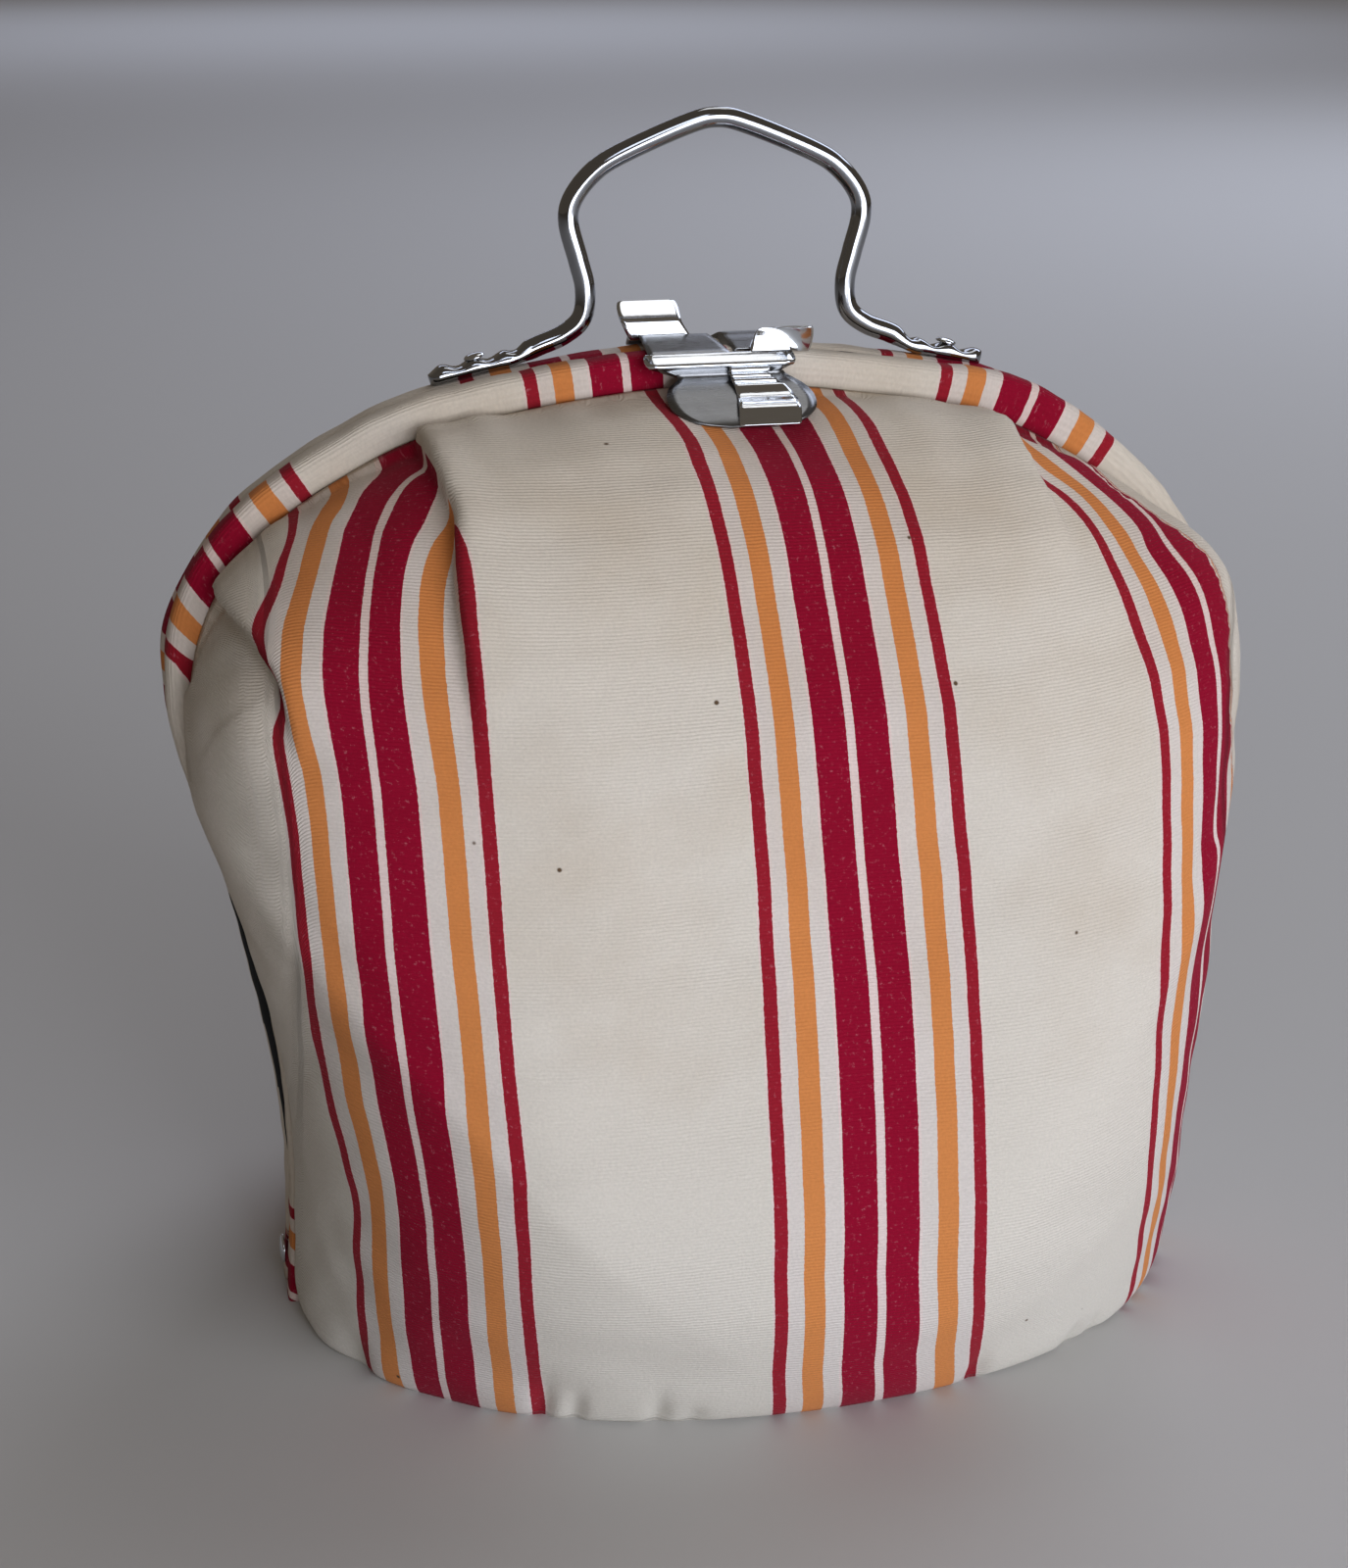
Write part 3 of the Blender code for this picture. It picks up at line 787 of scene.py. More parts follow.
@dataclass
class HalfShell:
    """One padded half of the cosy, cut in one and pleated into its rim."""

    arch: Arch
    side: Side
    pleats: tuple
    puffs: tuple
    puckers: tuple
    stripes: tuple  # the stripes of each of the four fields between the creases
    turned: int  # 1 for the front layout, -1 for the same one turned half round
    seed: int = 5
    # Where the cloth folds under at the right shoulder: (height, x) in mm.
    fold: tuple = (
        (150, 140), (178, 132.2), (189, 131.9), (197.7, 130.7), (205.8, 127.9), (210.2, 125.9),
        (214.3, 124.1), (217.6, 121.7), (220.8, 119.5), (224.4, 116.6), (227.9, 113.4),
        (231, 110.7), (233.2, 107.9), (236, 105), (240, 101), (246, 96), (252, 90), (262, 80),
    )
    fold_beyond: float = 400.0  # mm, its x where there is none
    fold_jump: float = 32.0  # mm of cloth that it hides
    fold_edge: float = 0.5  # mm to either side, over which the cloth goes under
    fold_stripe: tuple = (128.2, 128.7)  # mm across the cloth, where a stripe goes under
    fold_turn: tuple = (182.0, 190.0)  # mm, the height from which it does
    widest: float = 200.0  # mm; the cloth ends short of its next stripes
    table_size: tuple = (165, 268)  # mm: half-width and height of the cloth's tables
    table_blur: tuple = (1, 3, 5, 6, 5, 3, 1)  # over neighbouring heights
    wall: float = 9 * MM
    hem_roll: float = 3.5 * MM
    hem_roll_height: float = 12 * MM
    hem_roll_inner: float = 1.5 * MM
    seam_clear: float = 5 * MM
    # Three undulations: (height, distance from crest to crest).
    billow: tuple = (0.9 * MM, 70 * MM)
    billow_at_hem: float = 0.35  # its share there
    billow_turn: float = 30.0  # mm, the height from which it is whole
    dimple: tuple = (0.22 * MM, 16 * MM)
    gather: tuple = (0.7 * MM, 14 * MM)
    gather_stretch: tuple = (1, 0.35, 0.5)
    gather_reach: float = 26 * MM  # from the rim
    gather_turn: tuple = (190.0, 225.0)  # mm, the heights between which it starts
    # How brown the cloth is, with stain and painted shade: beside the seam and up the shell; below
    # 0, how much painted cool light it has near the hem.
    stain_and_shade_reach: float = 9 * MM
    stain_and_shade_turn: tuple = (150.0, 200.0)  # mm, the heights between which the seam's stain and painted shade start
    stain_and_shade_top: tuple = (0.6, 262.0)  # how brown the top is with stain and painted shade, and its height in mm
    hem_cool_light_foot: float = -20.0  # mm, the height at which the painted cool light would be whole
    pleat_points: int = 48
    columns: int = 320
    rows: int = 236
    hem_rows: int = 8
    hem_share: float = 0.035
    coarse: int = 4  # the inside has one face for so many of the outside's, each way

    def grids(self) -> tuple[np.ndarray, np.ndarray]:
        """The square that is laid over the dome.

        Returns:
            Its angles across and its angles up.
        """
        low = np.linspace(0, self.hem_share, self.hem_rows + 1)[:-1]
        high = np.linspace(self.hem_share, 1, self.rows - self.hem_rows + 1)
        a_line = np.linspace(-pi / 2, pi / 2, self.columns + 1)
        return np.meshgrid(a_line, np.r_[low, high] * pi / 2, indexing="ij")

    def pleat_offsets(self, points: np.ndarray, normals: np.ndarray, pleat: Pleat) -> tuple:
        """How each point lies to a pleat's line.

        Args:
            points: Points of the plain dome.
            normals: Their unit normals.
            pleat: The pleat.

        Returns:
            The distance to the right of its line, the distance beyond its
            ends, the share of the way along it, and the way across it.
        """
        line = smooth_line(np.array(pleat.way) * MM, self.pleat_points)
        path = self.arch.on_dome(line[:, 0], line[:, 1], self.side)
        away = points[..., None, :] - path
        nearest = np.argmin((away**2).sum(axis=-1), axis=-1)
        gap = np.take_along_axis(away, nearest[..., None, None], axis=-2)[..., 0, :]
        run = runs_of(path)[nearest]
        sideways = -self.side.value * np.cross(normals, run)
        right = (gap * sideways).sum(axis=-1)
        beyond = np.abs((gap * run).sum(axis=-1))
        return right, beyond, nearest / (len(line) - 1), sideways

    def shape(self) -> tuple[np.ndarray, np.ndarray, list[np.ndarray]]:
        """The outer face with its pleats, puffs, puckers and soft undulation.

        Returns:
            The plain dome, the finished outer face, and the distance to the
            right of each pleat's line.
        """
        plain = self.arch.dome_points(*self.grids(), 0, self.side)
        normals = np.cross(np.gradient(plain, axis=0), np.gradient(plain, axis=1))
        lengths = np.linalg.norm(normals, axis=-1, keepdims=True)
        normals *= -self.side.value / np.maximum(lengths, 1e-9)
        off_rim = np.abs(plain[..., 1]) - self.arch.rim_depth
        clear = smooth_step(off_rim, 0, self.seam_clear)
        x, z = plain[..., 0] / MM, plain[..., 2] / MM
        height = np.zeros(x.shape)
        slide = np.zeros(plain.shape)
        lines = []
        for pleat in self.pleats:
            right, beyond, share, sideways = self.pleat_offsets(plain, normals, pleat)
            offset = right * pleat.lip / MM
            ends = hill(beyond / MM, pleat.width) * (1 - smooth_step(share, pleat.hold, 1))
            bell = (1 + pleat.cut) * np.exp(-np.abs(offset) / pleat.width) - pleat.cut
            bell = np.clip(bell, 0, 1) * ends
            height += pleat.step * MM / 2 * np.tanh(offset / pleat.edge) * bell
            lap = pleat.lap * MM * hill(offset - pleat.edge, 2 * pleat.edge) * ends
            slide -= sideways * (pleat.lip * lap)[..., None]
            lines.append(right)
        for puff in self.puffs:
            centre = self.arch.on_dome(np.array(puff.x * MM), np.array(puff.z * MM), self.side)
            distance = np.linalg.norm(plain - centre, axis=-1)
            height += puff.height * MM * hill(distance, puff.radius * MM)
        for pucker in self.puckers:
            share = 1 - smooth_step(z, 0, pucker.height)
            height -= pucker.depth * MM * hill(x - pucker.x, pucker.width) * share**pucker.fade
        free = smooth_step(z, 0, self.billow_turn)
        free = self.billow_at_hem + (1 - self.billow_at_hem) * free
        height += self.billow[0] * soft_noise(plain, self.billow[1], self.seed) * free
        height += self.dimple[0] * soft_noise(plain, self.dimple[1], self.seed + 1)
        gathers = soft_noise(plain * self.gather_stretch, self.gather[1], self.seed + 2)
        near_seam = np.exp(-off_rim / self.gather_reach)
        height += self.gather[0] * gathers * near_seam * smooth_step(z, *self.gather_turn)
        outer = plain + normals * (height * clear)[..., None] + slide * clear[..., None]
        return plain, outer, lines

    def mesh_data(self, outer: np.ndarray) -> tuple[np.ndarray, list, list]:
        """One closed solid: a fine outside, a coarse inside, and strips between.

        Args:
            outer: The outer face.

        Returns:
            Vertices, faces, and each face's area of the shell.
        """
        step = self.coarse
        inner_full = self.arch.dome_points(*self.grids(), self.wall, self.side)
        turn = 1 - np.sqrt(1 - np.clip(1 - outer[..., 2:] / self.hem_roll_height, 0, 1) ** 2)
        rolled = outer + (inner_full - outer) * turn * self.hem_roll / self.wall
        inner = inner_full + (outer - inner_full) * turn * self.hem_roll_inner / self.wall
        rolled[:, 0, 2] = 0
        inner[:, 0, 2] = 0
        inner = inner[::step, ::step]
        index = np.arange(rolled[..., 0].size).reshape(rolled.shape[:2])
        back = index.size + np.arange(inner[..., 0].size).reshape(inner.shape[:2])
        faces = grid_faces(index, flip=True)
        cover = len(faces)
        faces += grid_faces(back)
        borders = (
            (index[:, 0], back[:, 0], True), (index[:, -1], back[:, -1], False),
            (index[0], back[0], False), (index[-1], back[-1], True),
        )
        for fine, rough, flip in borders:
            for k in range(len(rough) - 1):
                ring = (*fine[k * step:(k + 1) * step + 1], rough[k + 1], rough[k])
                faces.append(ring[::-1] if flip else ring)
        areas = [Area.COVER.value] * cover + [Area.INSIDE.value] * (len(faces) - cover)
        if self.side is Side.REAR:
            faces = [face[::-1] for face in faces]
        return np.concatenate([rolled.reshape(-1, 3), inner.reshape(-1, 3)]), faces, areas

    def cloth_tables(self) -> tuple[np.ndarray, np.ndarray, list[np.ndarray], np.ndarray]:
        """Tables over x and height of where the cloth's own directions have got to.

        Returns:
            The table's x values and heights, the distance across the cloth
            for each field, and the distance up it; all in mm.
        """
        half_width, tall = self.table_size
        x = np.arange(-half_width, half_width + 1.0)
        z = np.arange(0.0, tall)
        grid_x, grid_z = np.meshgrid(x * MM, z * MM, indexing="ij")
        depth = self.arch.dome_depth(grid_x - self.arch.drift(grid_z, Side.FRONT), grid_z, 0) / MM
        over = np.sqrt(1 + np.gradient(depth, axis=0) ** 2)
        across = np.vstack([np.zeros(len(z)), np.cumsum((over[1:] + over[:-1]) / 2, axis=0)])
        up = np.sqrt(1 + np.gradient(depth, axis=1) ** 2)
        along = np.column_stack([np.zeros(len(x)), np.cumsum((up[:, 1:] + up[:, :-1]) / 2, axis=1)])
        weights = np.array(self.table_blur) / sum(self.table_blur)
        margin = len(weights) // 2
        fields = []
        for stripes in self.stripes:
            table = np.zeros(across.shape)
            for j, height in enumerate(z):
                known = sorted(
                    (float(np.interp(height, *np.array(s.way).T)), s.across)
                    for s in stripes if s.way[0][0] <= height <= s.way[-1][0]
                )
                here = across[:, j]
                at = np.interp([place for place, _ in known], x, here)
                table[:, j] = np.interp(here, at, [value for _, value in known])
                table[:, j] += np.minimum(here - at[0], 0) + np.maximum(here - at[-1], 0)
            padded = np.pad(table, ((0, 0), (margin, margin)), mode="edge")
            fields.append(sum(w * padded[:, k:k + len(z)] for k, w in enumerate(weights)))
        end = self.fold_beyond
        beyond = x[:, None] - np.interp(z, *np.array(self.fold).T, left=end, right=end)
        last = fields[-1] + self.fold_jump * smooth_step(beyond, -self.fold_edge, self.fold_edge)
        hidden = smooth_step(last, *self.fold_stripe) * smooth_step(z, *self.fold_turn)
        fields[-1] = np.clip(last + self.fold_jump * hidden, -self.widest, self.widest)
        return x, z, fields, along

    def dress(self, obj: Object, plain: np.ndarray, lines: list[np.ndarray]) -> None:
        """Write the cloth's coordinates on the shell, for its striped material.

        Args:
            obj: The shell.
            plain: Its plain dome, over the outer grid.
            lines: Distance to the right of each pleat's line.
        """
        x, z, fields, along = self.cloth_tables()
        own, front = (self.arch.drift(plain[..., 2], side) for side in (self.side, Side.FRONT))
        like_front = self.turned * (plain[..., 0] - own) + front
        at_x = np.clip(like_front / MM, x[0], x[-1] - 1e-6) - x[0]
        at_z = np.clip(plain[..., 2] / MM, 0, z[-1] - 1e-6)
        i, j = at_x.astype(int), at_z.astype(int)
        f, g = at_x - i, at_z - j

        def read(table: np.ndarray) -> np.ndarray:
            """Read a table at each point of the shell.

            Args:
                table: The table.

            Returns:
                Its values there.
            """
            low = table[i, j] * (1 - f) + table[i + 1, j] * f
            high = table[i, j + 1] * (1 - f) + table[i + 1, j + 1] * f
            return low * (1 - g) + high * g

        # Stain with painted shade beside the seam and towards the top.
        away = np.clip(np.abs(plain[..., 1]) - self.arch.rim_depth, 0, None)
        stain_and_shade = np.exp(-away / self.stain_and_shade_reach) * smooth_step(at_z, *self.stain_and_shade_turn)
        foot, (most, top) = self.stain_and_shade_turn[0], self.stain_and_shade_top
        stain_and_shade = np.maximum(stain_and_shade, most * smooth_step(at_z, foot, top))
        # Below 0: painted cool light, growing towards the hem.
        stain_and_shade = stain_and_shade - 1 + smooth_step(at_z, self.hem_cool_light_foot, foot)
        sides = [line * self.turned / MM for line in lines[:3]]
        write_cloth(obj, *map(read, fields), read(along), stain_and_shade, *sides)

    def build(self, cover: Material, inside: Material) -> None:
        """Make the shell and settle it on the frame.

        Args:
            cover: The striped cotton.
            inside: The plain cotton of the inside.
        """
        plain, outer, lines = self.shape()
        vertices, faces, areas = self.mesh_data(outer)
        obj = mesh_object(f"{self.side.label}_half_shell", vertices, faces, cover, inside)
        obj.data.polygons.foreach_set("material_index", areas)
        self.dress(obj, plain, lines)
        settle(obj, f"{self.side.label}_shell")


@dataclass
class Rim:
    """One half-hoop rim: a cotton casing, gathered a little on its hoop."""

    arch: Arch
    side: Side
    casing: tuple  # mm: (distance along the rim from its top, place across the cloth)
    height: tuple = (8 * MM, 11 * MM)  # of the section, at the side and at the top
    squareness: float = 0.62
    flank_squareness: float = 0.36  # of the corner beside the cloth, on the flanks
    flank_turn: tuple = (140 * MM, 190 * MM)
    foot_rise: float = 20 * MM
    stations: int = 460
    sides: int = 40
    skew: float = 0.5
    skew_turn: tuple = (-120.0, -165.0)  # mm: where the stripes start to slant, and slant most
    swell: tuple = (97.0, 26.0, 2.8 * MM)  # where it is fuller, how far along, how much
    gap_shade: tuple = (0.88, -0.3)  # where the painted shade on the meeting face starts, how far the slit widens it
    gather: tuple = (0.035, 13 * MM)  # share of the section, and from crest to crest
    gather_stretch: tuple = (1, 0.6, 1)
    shrink: float = 0.02  # share of the section that the gathers take
    tuck: float = 0.0  # how far the right shoulder draws in
    tuck_turn: tuple = (50 * MM, 92 * MM)
    peep: float = 0.0  # how far the left shoulder stands out
    peep_turn: tuple = (182 * MM, 206 * MM)
    stain_and_shade: float = 0.4  # how brown the casing is where it isn't browner with stain and painted shade at the seam
    stain_and_shade_turn: tuple = (0.62, 1.0)
    round_cloth: float = 6.0  # mm of cloth over the casing's height
    seed: int = 21

    def gathered(self, points: np.ndarray, near: np.ndarray) -> np.ndarray:
        """Gather the casing, keep it off the other rim, and shift its shoulders.

        Args:
            points: The plain casing, ring by ring.
            near: How far from y = 0 each ring may come.

        Returns:
            The finished points.
        """
        centre = points.mean(axis=1, keepdims=True)
        fold = soft_noise(points * self.gather_stretch, self.gather[1], self.seed)
        points = points + (points - centre) * (self.gather[0] * fold - self.shrink)[..., None]
        points[..., 1] = self.side.value * np.maximum(np.abs(points[..., 1]), near[:, None])
        points[..., 2] = np.maximum(points[..., 2], 0)
        for way, amount, turn in ((1, self.tuck, self.arch.shoulder_turn),
                                  (-1, self.peep, self.peep_turn)):
            shoulder = smooth_step(points[..., 2], *turn)
            points[..., 0] -= amount * smooth_step(way * points[..., 0], *self.tuck_turn) * shoulder
        return points

    def build(self, casing: Material, gap_shade: Material) -> None:
        """Make the casing and settle it on the frame.

        Args:
            casing: The striped casing cotton.
            gap_shade: The painted shade on the face that meets the other rim, a near-black matt
                finish.
        """
        line = self.arch.whole(self.stations + 1)[::-1]
        runs = runs_of(line)
        along = length_along(line) / MM
        along -= along[-1] / 2
        z = np.maximum(line[:, 1], 0)
        run_x = runs[:, 0] * smooth_step(z, 0, self.foot_rise)
        low, high = self.height
        tall = low + (high - low) * smooth_step(z, *self.arch.seam_turn)
        near = self.arch.opening(z) / 2
        turn = 2 * pi * (np.arange(self.sides) + 0.5) / self.sides
        flank = (1 - smooth_step(z, *self.flank_turn)[:, None]) * (np.sin(turn) > 0)
        power = self.squareness - (self.squareness - self.flank_squareness) * flank
        inward = (1 - fuller(np.cos(turn), power)) / 2
        bulge = fuller(np.sin(turn), power)
        middle, half = (near + self.arch.rim_depth) / 2, (self.arch.rim_depth - near) / 2
        place, spread, swell = self.swell
        swell = swell * hill(along - place, spread)
        down = tall[:, None] * inward - swell[:, None] * (1 - inward)
        out = middle[:, None] + half[:, None] * bulge
        x = line[:, :1] + runs[:, 1:] * down + self.arch.drift(z, self.side)[:, None]
        points = np.stack([x, self.side.value * out, z[:, None] - run_x[:, None] * down], axis=-1)
        faces = tube_faces(len(line), self.sides, inward=self.side is Side.REAR)
        obj = mesh_object(f"{self.side.label}_rim_casing",
                          self.gathered(points, near).reshape(-1, 3), faces, casing, gap_shade)
        # Painted shade: the faces that meet the other rim take the near-black finish, more of them
        # where the slit gapes.
        reach = self.gap_shade[0] + self.gap_shade[1] * (self.arch.opening(z[:-1]) / self.arch.slit)
        painted_shade_faces = ((bulge + np.roll(bulge, -1, axis=1)) / 2)[:-1] < -reach[:, None]
        obj.data.polygons.foreach_set("material_index", np.r_[0, 0, painted_shade_faces.reshape(-1)].astype(int))
        around = (out - near[:, None]) / MM + inward * self.round_cloth
        skew = self.skew * smooth_step(-along, -self.skew_turn[0], -self.skew_turn[1])[:, None]
        across = np.interp(along, *np.array(self.casing, float).T)[:, None] + skew * down / MM
        # Stain with painted shade gathers on the casing's inner edge, at the seam.
        stain_and_shade = np.maximum(smooth_step(inward, *self.stain_and_shade_turn), self.stain_and_shade)
        write_cloth(obj, *[across] * 4, around, stain_and_shade, *[np.zeros(across.shape)] * 3)
        settle(obj, f"{self.side.label}_rim")


@dataclass
class Handle:
    """The wire handle: one bent wire whose feet are pressed flat and riveted."""

    arch: Arch
    x: float = 4 * MM
    y: float = 5.8 * MM
    wire: float = 2.8 * MM  # radius
    # The wire's middle line, right half, seen from the front: (half-width, height) in mm.
    bail: tuple = (
        (0, 333.0), (9, 331.0), (27, 323.6), (34.4, 318.8), (39.6, 312.2), (40.6, 306),
        (38.2, 296.5), (36.4, 288.5), (37.4, 281), (42.5, 276.6), (50, 273.6),
    )
    # Each foot's half-widths at its neck, rivet and tip, left and right.
    feet: tuple = ((57 * MM, 67 * MM, 79.5 * MM), (56 * MM, 66 * MM, 76 * MM))
    foot_points: int = 7
    foot_half_height: float = 1.8 * MM
    foot_half_width: float = 3.7 * MM
    foot_clear: float = 0.4 * MM
    foot_blend: float = 6 * MM
    foot_square: float = 0.35  # how much squarer than round its section is
    ripple: float = 0.8 * MM
    ripple_length: float = 8.5 * MM
    foot_top: float = 280 * MM  # the wire above this height is round
    tip_round: float = 3 * MM
    tip_width: float = 0.3  # share of the foot's width that is left at its end
    stations: int = 520
    sides: int = 28
    rivet_radius: float = 2.9 * MM
    rivet_height: float = 1.3 * MM
    rivet_clear: float = 0.6 * MM
    rivet_tilt: float = radians(15)
    rim_top: float = 240 * MM  # the rim above this height carries the feet

    def foot_height(self, half_width: float, sign: int) -> float:
        """Height of a foot's middle line where it lies on the rear rim.

        Args:
            half_width: How far from the handle's middle.
            sign: -1 for the left foot, 1 for the right one.

        Returns:
            The height.
        """
        x = self.x + sign * half_width - self.arch.shoulder_shift[1]
        line = self.arch.line
        upper = line[(line[:, 0] >= 0) & (line[:, 1] > self.rim_top)][::-1]
        on_rim = np.interp(abs(x), upper[:, 0], upper[:, 1])
        return float(on_rim) + self.foot_half_height + self.foot_clear

    def centre_line(self) -> np.ndarray:
        """The wire's middle line, from the left foot's tip to the right one's.

        Returns:
            Its points (x, z), from the handle's middle.
        """
        halves = []
        for sign, (neck, _, tip) in zip((-1, 1), self.feet):
            foot = [(half, self.foot_height(half, sign))
                    for half in np.linspace(neck, tip, self.foot_points)]
            halves.append(np.vstack([np.array(self.bail) * MM, foot]) * (sign, 1))
        return smooth_line(np.vstack([halves[0][::-1], halves[1][1:]]), self.stations)

    def ring(self, place: np.ndarray, run: np.ndarray) -> np.ndarray:
        """The wire's section at one point of its middle line.

        Args:
            place: The point, (x, z) from the handle's middle.
            run: The unit direction of the line there.

        Returns:
            The ring of points.
        """
        (x, z), (run_x, run_z) = place, run
        turn = 2 * pi * np.arange(self.sides) / self.sides
        neck, rivet, tip = self.feet[int(x > 0)]
        flat = smooth_step(abs(x), neck - self.foot_blend, neck) if z < self.foot_top else 0.0
        high = self.wire + (self.foot_half_height - self.wire) * flat
        wide = self.wire + (self.foot_half_width - self.wire) * flat
        beyond = np.clip((abs(x) - tip + self.tip_round) / self.tip_round, 0, 1) * flat
        wide *= self.tip_width + (1 - self.tip_width) * (1 - beyond**2) ** 0.5
        square = 1 - self.foot_square * flat
        up = high * fuller(np.cos(turn), square)
        side = wide * fuller(np.sin(turn), square)
        hump = self.ripple * cos(2 * pi * (abs(x) - rivet) / self.ripple_length) * flat
        up = up + hump * (np.cos(turn) > 0) * np.cos(turn)
        return np.column_stack([self.x + x - run_z * up, self.y + side, z + run_x * up])

    def build(self, chrome: Material, sheet: Material) -> None:
        """Make the wire and its two rivets and settle them on the frame.

        Args:
            chrome: The wire's finish.
            sheet: The rivets' finish.
        """
        line = self.centre_line()
        rings = np.concatenate(list(map(self.ring, line, runs_of(line))))
        faces = tube_faces(self.stations, self.sides, inward=True)
        settle(mesh_object("wire_handle", rings, faces, chrome), "handle")
        for label, sign, (_, at, _) in zip(("left", "right"), (-1, 1), self.feet):
            top = self.foot_height(at, sign) + self.foot_half_height + self.rivet_clear
            head = turned_head(f"foot_rivet_{label}", self.rivet_radius, self.rivet_height, sheet)
            place = Matrix.Translation((self.x + sign * at, self.y, top))
            head.data.transform(place @ Matrix.Rotation(sign * self.rivet_tilt, 4, "Y"))
            settle(head, f"handle_rivet_{label}")


def turned_head(name: str, radius: float, height: float, finish: Material) -> Object:
    """A rivet's head: a low dome with a small upright edge, turned about Z.

    Args:
        name: The piece's name.
        radius: Its radius.
        height: Its height.
        finish: Its material.

    Returns:
        The object, with its base at z = 0.
    """
    steps, sides, core = 8, 40, radius * 0.02
    # The profile (radius, height) runs from the crown down to the base.
    dome = [(radius * sin(pi / 2 * k / steps), height * (0.25 + 0.75 * cos(pi / 2 * k / steps)))
            for k in range(1, steps + 1)]
    profile = [(core, height), *dome, (radius, height * 0.1), (radius * 0.96, 0.0), (core, 0.0)]
    turn = 2 * pi * np.arange(sides) / sides
    rings = [np.column_stack([r * np.cos(turn), r * np.sin(turn), np.full(sides, z)])
             for r, z in profile]
    faces = tube_faces(len(rings), sides, inward=True)
    return mesh_object(name, np.concatenate(rings), faces, finish)


@dataclass
class HingePins:
    """The two pins that join the rims at the base corners."""

    arch: Arch
    height: float = 12 * MM
    radius: float = 4.2 * MM
    dome: float = 1.6 * MM
    clear: float = 0.55 * MM  # from the rim's outer edge
    rim_foot: float = 60 * MM  # the rim below this height carries the pins

    def build(self, sheet: Material) -> None:
        """Make both pins and settle them on the frame.

        Args:
            sheet: Their finish.
        """
        line = self.arch.line
        low = line[(line[:, 0] > 0) & (line[:, 1] < self.rim_foot)]
        edge = float(np.interp(self.height, low[:, 1], low[:, 0]))
        drift = float(self.arch.drift(np.array(self.height), Side.FRONT))
        for label, sign in (("left", -1), ("right", 1)):
            pin = turned_head(f"hinge_pin_{label}", self.radius, self.dome, sheet)
            place = Matrix.Translation((sign * (edge + self.clear) + drift, 0, self.height))
            pin.data.transform(place @ Matrix.Rotation(sign * pi / 2, 4, "Y"))
            settle(pin, f"hinge_{label}")


@dataclass
class ClaspJaw:
    """One jaw of the clasp, pressed from sheet: face plate, ridge, band, flange and ear.

    Each is a strip, lofted through rows of points that run across it.
    """

    side: Side
    dull_strips: tuple
    bright_strips: tuple
    gauge: float = 0.7 * MM
    rows: int = 72
    columns: int = 14  # from one point of a row to the next

    def loft(self, strip: tuple, start: int) -> tuple[np.ndarray, list]:
        """Vertices and faces of one strip.

        Args:
            strip: Its rows, each a tuple of points (x, y, z) in mm.
            start: The number of its first vertex.

        Returns:
            Its vertices and faces.
        """
        across = len(strip[0])
        rows = smooth_line(np.array(strip, float).reshape(len(strip), -1), self.rows)
        rows = rows.reshape(self.rows, across, 3) * MM
        t = np.linspace(0, across - 1, self.columns * (across - 1) + 1)
        k = np.minimum(t.astype(int), across - 2)
        f = (t - k)[:, None]
        grid = rows[:, k] * (1 - f) + rows[:, k + 1] * f
        index = start + np.arange(self.rows * len(t)).reshape(self.rows, len(t))
        return grid.reshape(-1, 3), grid_faces(index)

    def build(self, bright: Material, dull: Material) -> None:
        """Make the jaw and settle it on the frame.

        Args:
            bright: The finish of the ridge, band and ear.
            dull: The finish of the face plate and flange, and of the rear ear's root.
        """
        vertices, faces, finish = [], [], []
        for number, strips in enumerate((self.bright_strips, self.dull_strips)):
            for strip in strips:
                grid, quads = self.loft(strip, sum(map(len, vertices)))
                vertices.append(grid)
                faces += quads
                finish += [number] * len(quads)
        name = f"{self.side.label}_clasp_jaw"
        jaw = mesh_object(name, np.concatenate(vertices), faces, bright, dull)
        jaw.data.polygons.foreach_set("material_index", finish)
        thick = jaw.modifiers.new("Gauge", "SOLIDIFY")
        thick.thickness = self.gauge
        thick.offset = 0
        settle(jaw, f"{self.side.label}_clasp")


def flat_strip(*rows: tuple) -> tuple:
    """A clasp strip with straight rows, from (y, z, left, right) of each."""
    return tuple(((left, y, z), (right, y, z)) for y, z, left, right in rows)


def turned_round(strip: tuple) -> tuple:
    """A clasp strip, turned half round about the clasp's upright middle line."""
    return tuple(tuple((2 * CLASP_MIDDLE - x, -y, z) for x, y, z in row) for row in strip)


# --------------------------------------------------------------------- studio


@dataclass(frozen=True)
class Panel:
    """One soft light panel; metres and watts."""

    name: str
    at: tuple
    size: float
    watts: float
    shade: str
    aim: tuple = (0, 0, 0.15)

    def hang(self) -> None:
        """Hang it in the scene."""
        data = bpy.data.lights.new(self.name, "AREA")
        data.size = self.size
        data.energy = self.watts
        data.color = colour(self.shade)[:3]
        panel = bpy.data.objects.new(self.name, data)
        panel.location = self.at
        way = Vector(self.aim) - Vector(self.at)
        panel.rotation_euler = way.to_track_quat("-Z", "Y").to_euler()
        bpy.context.scene.collection.objects.link(panel)


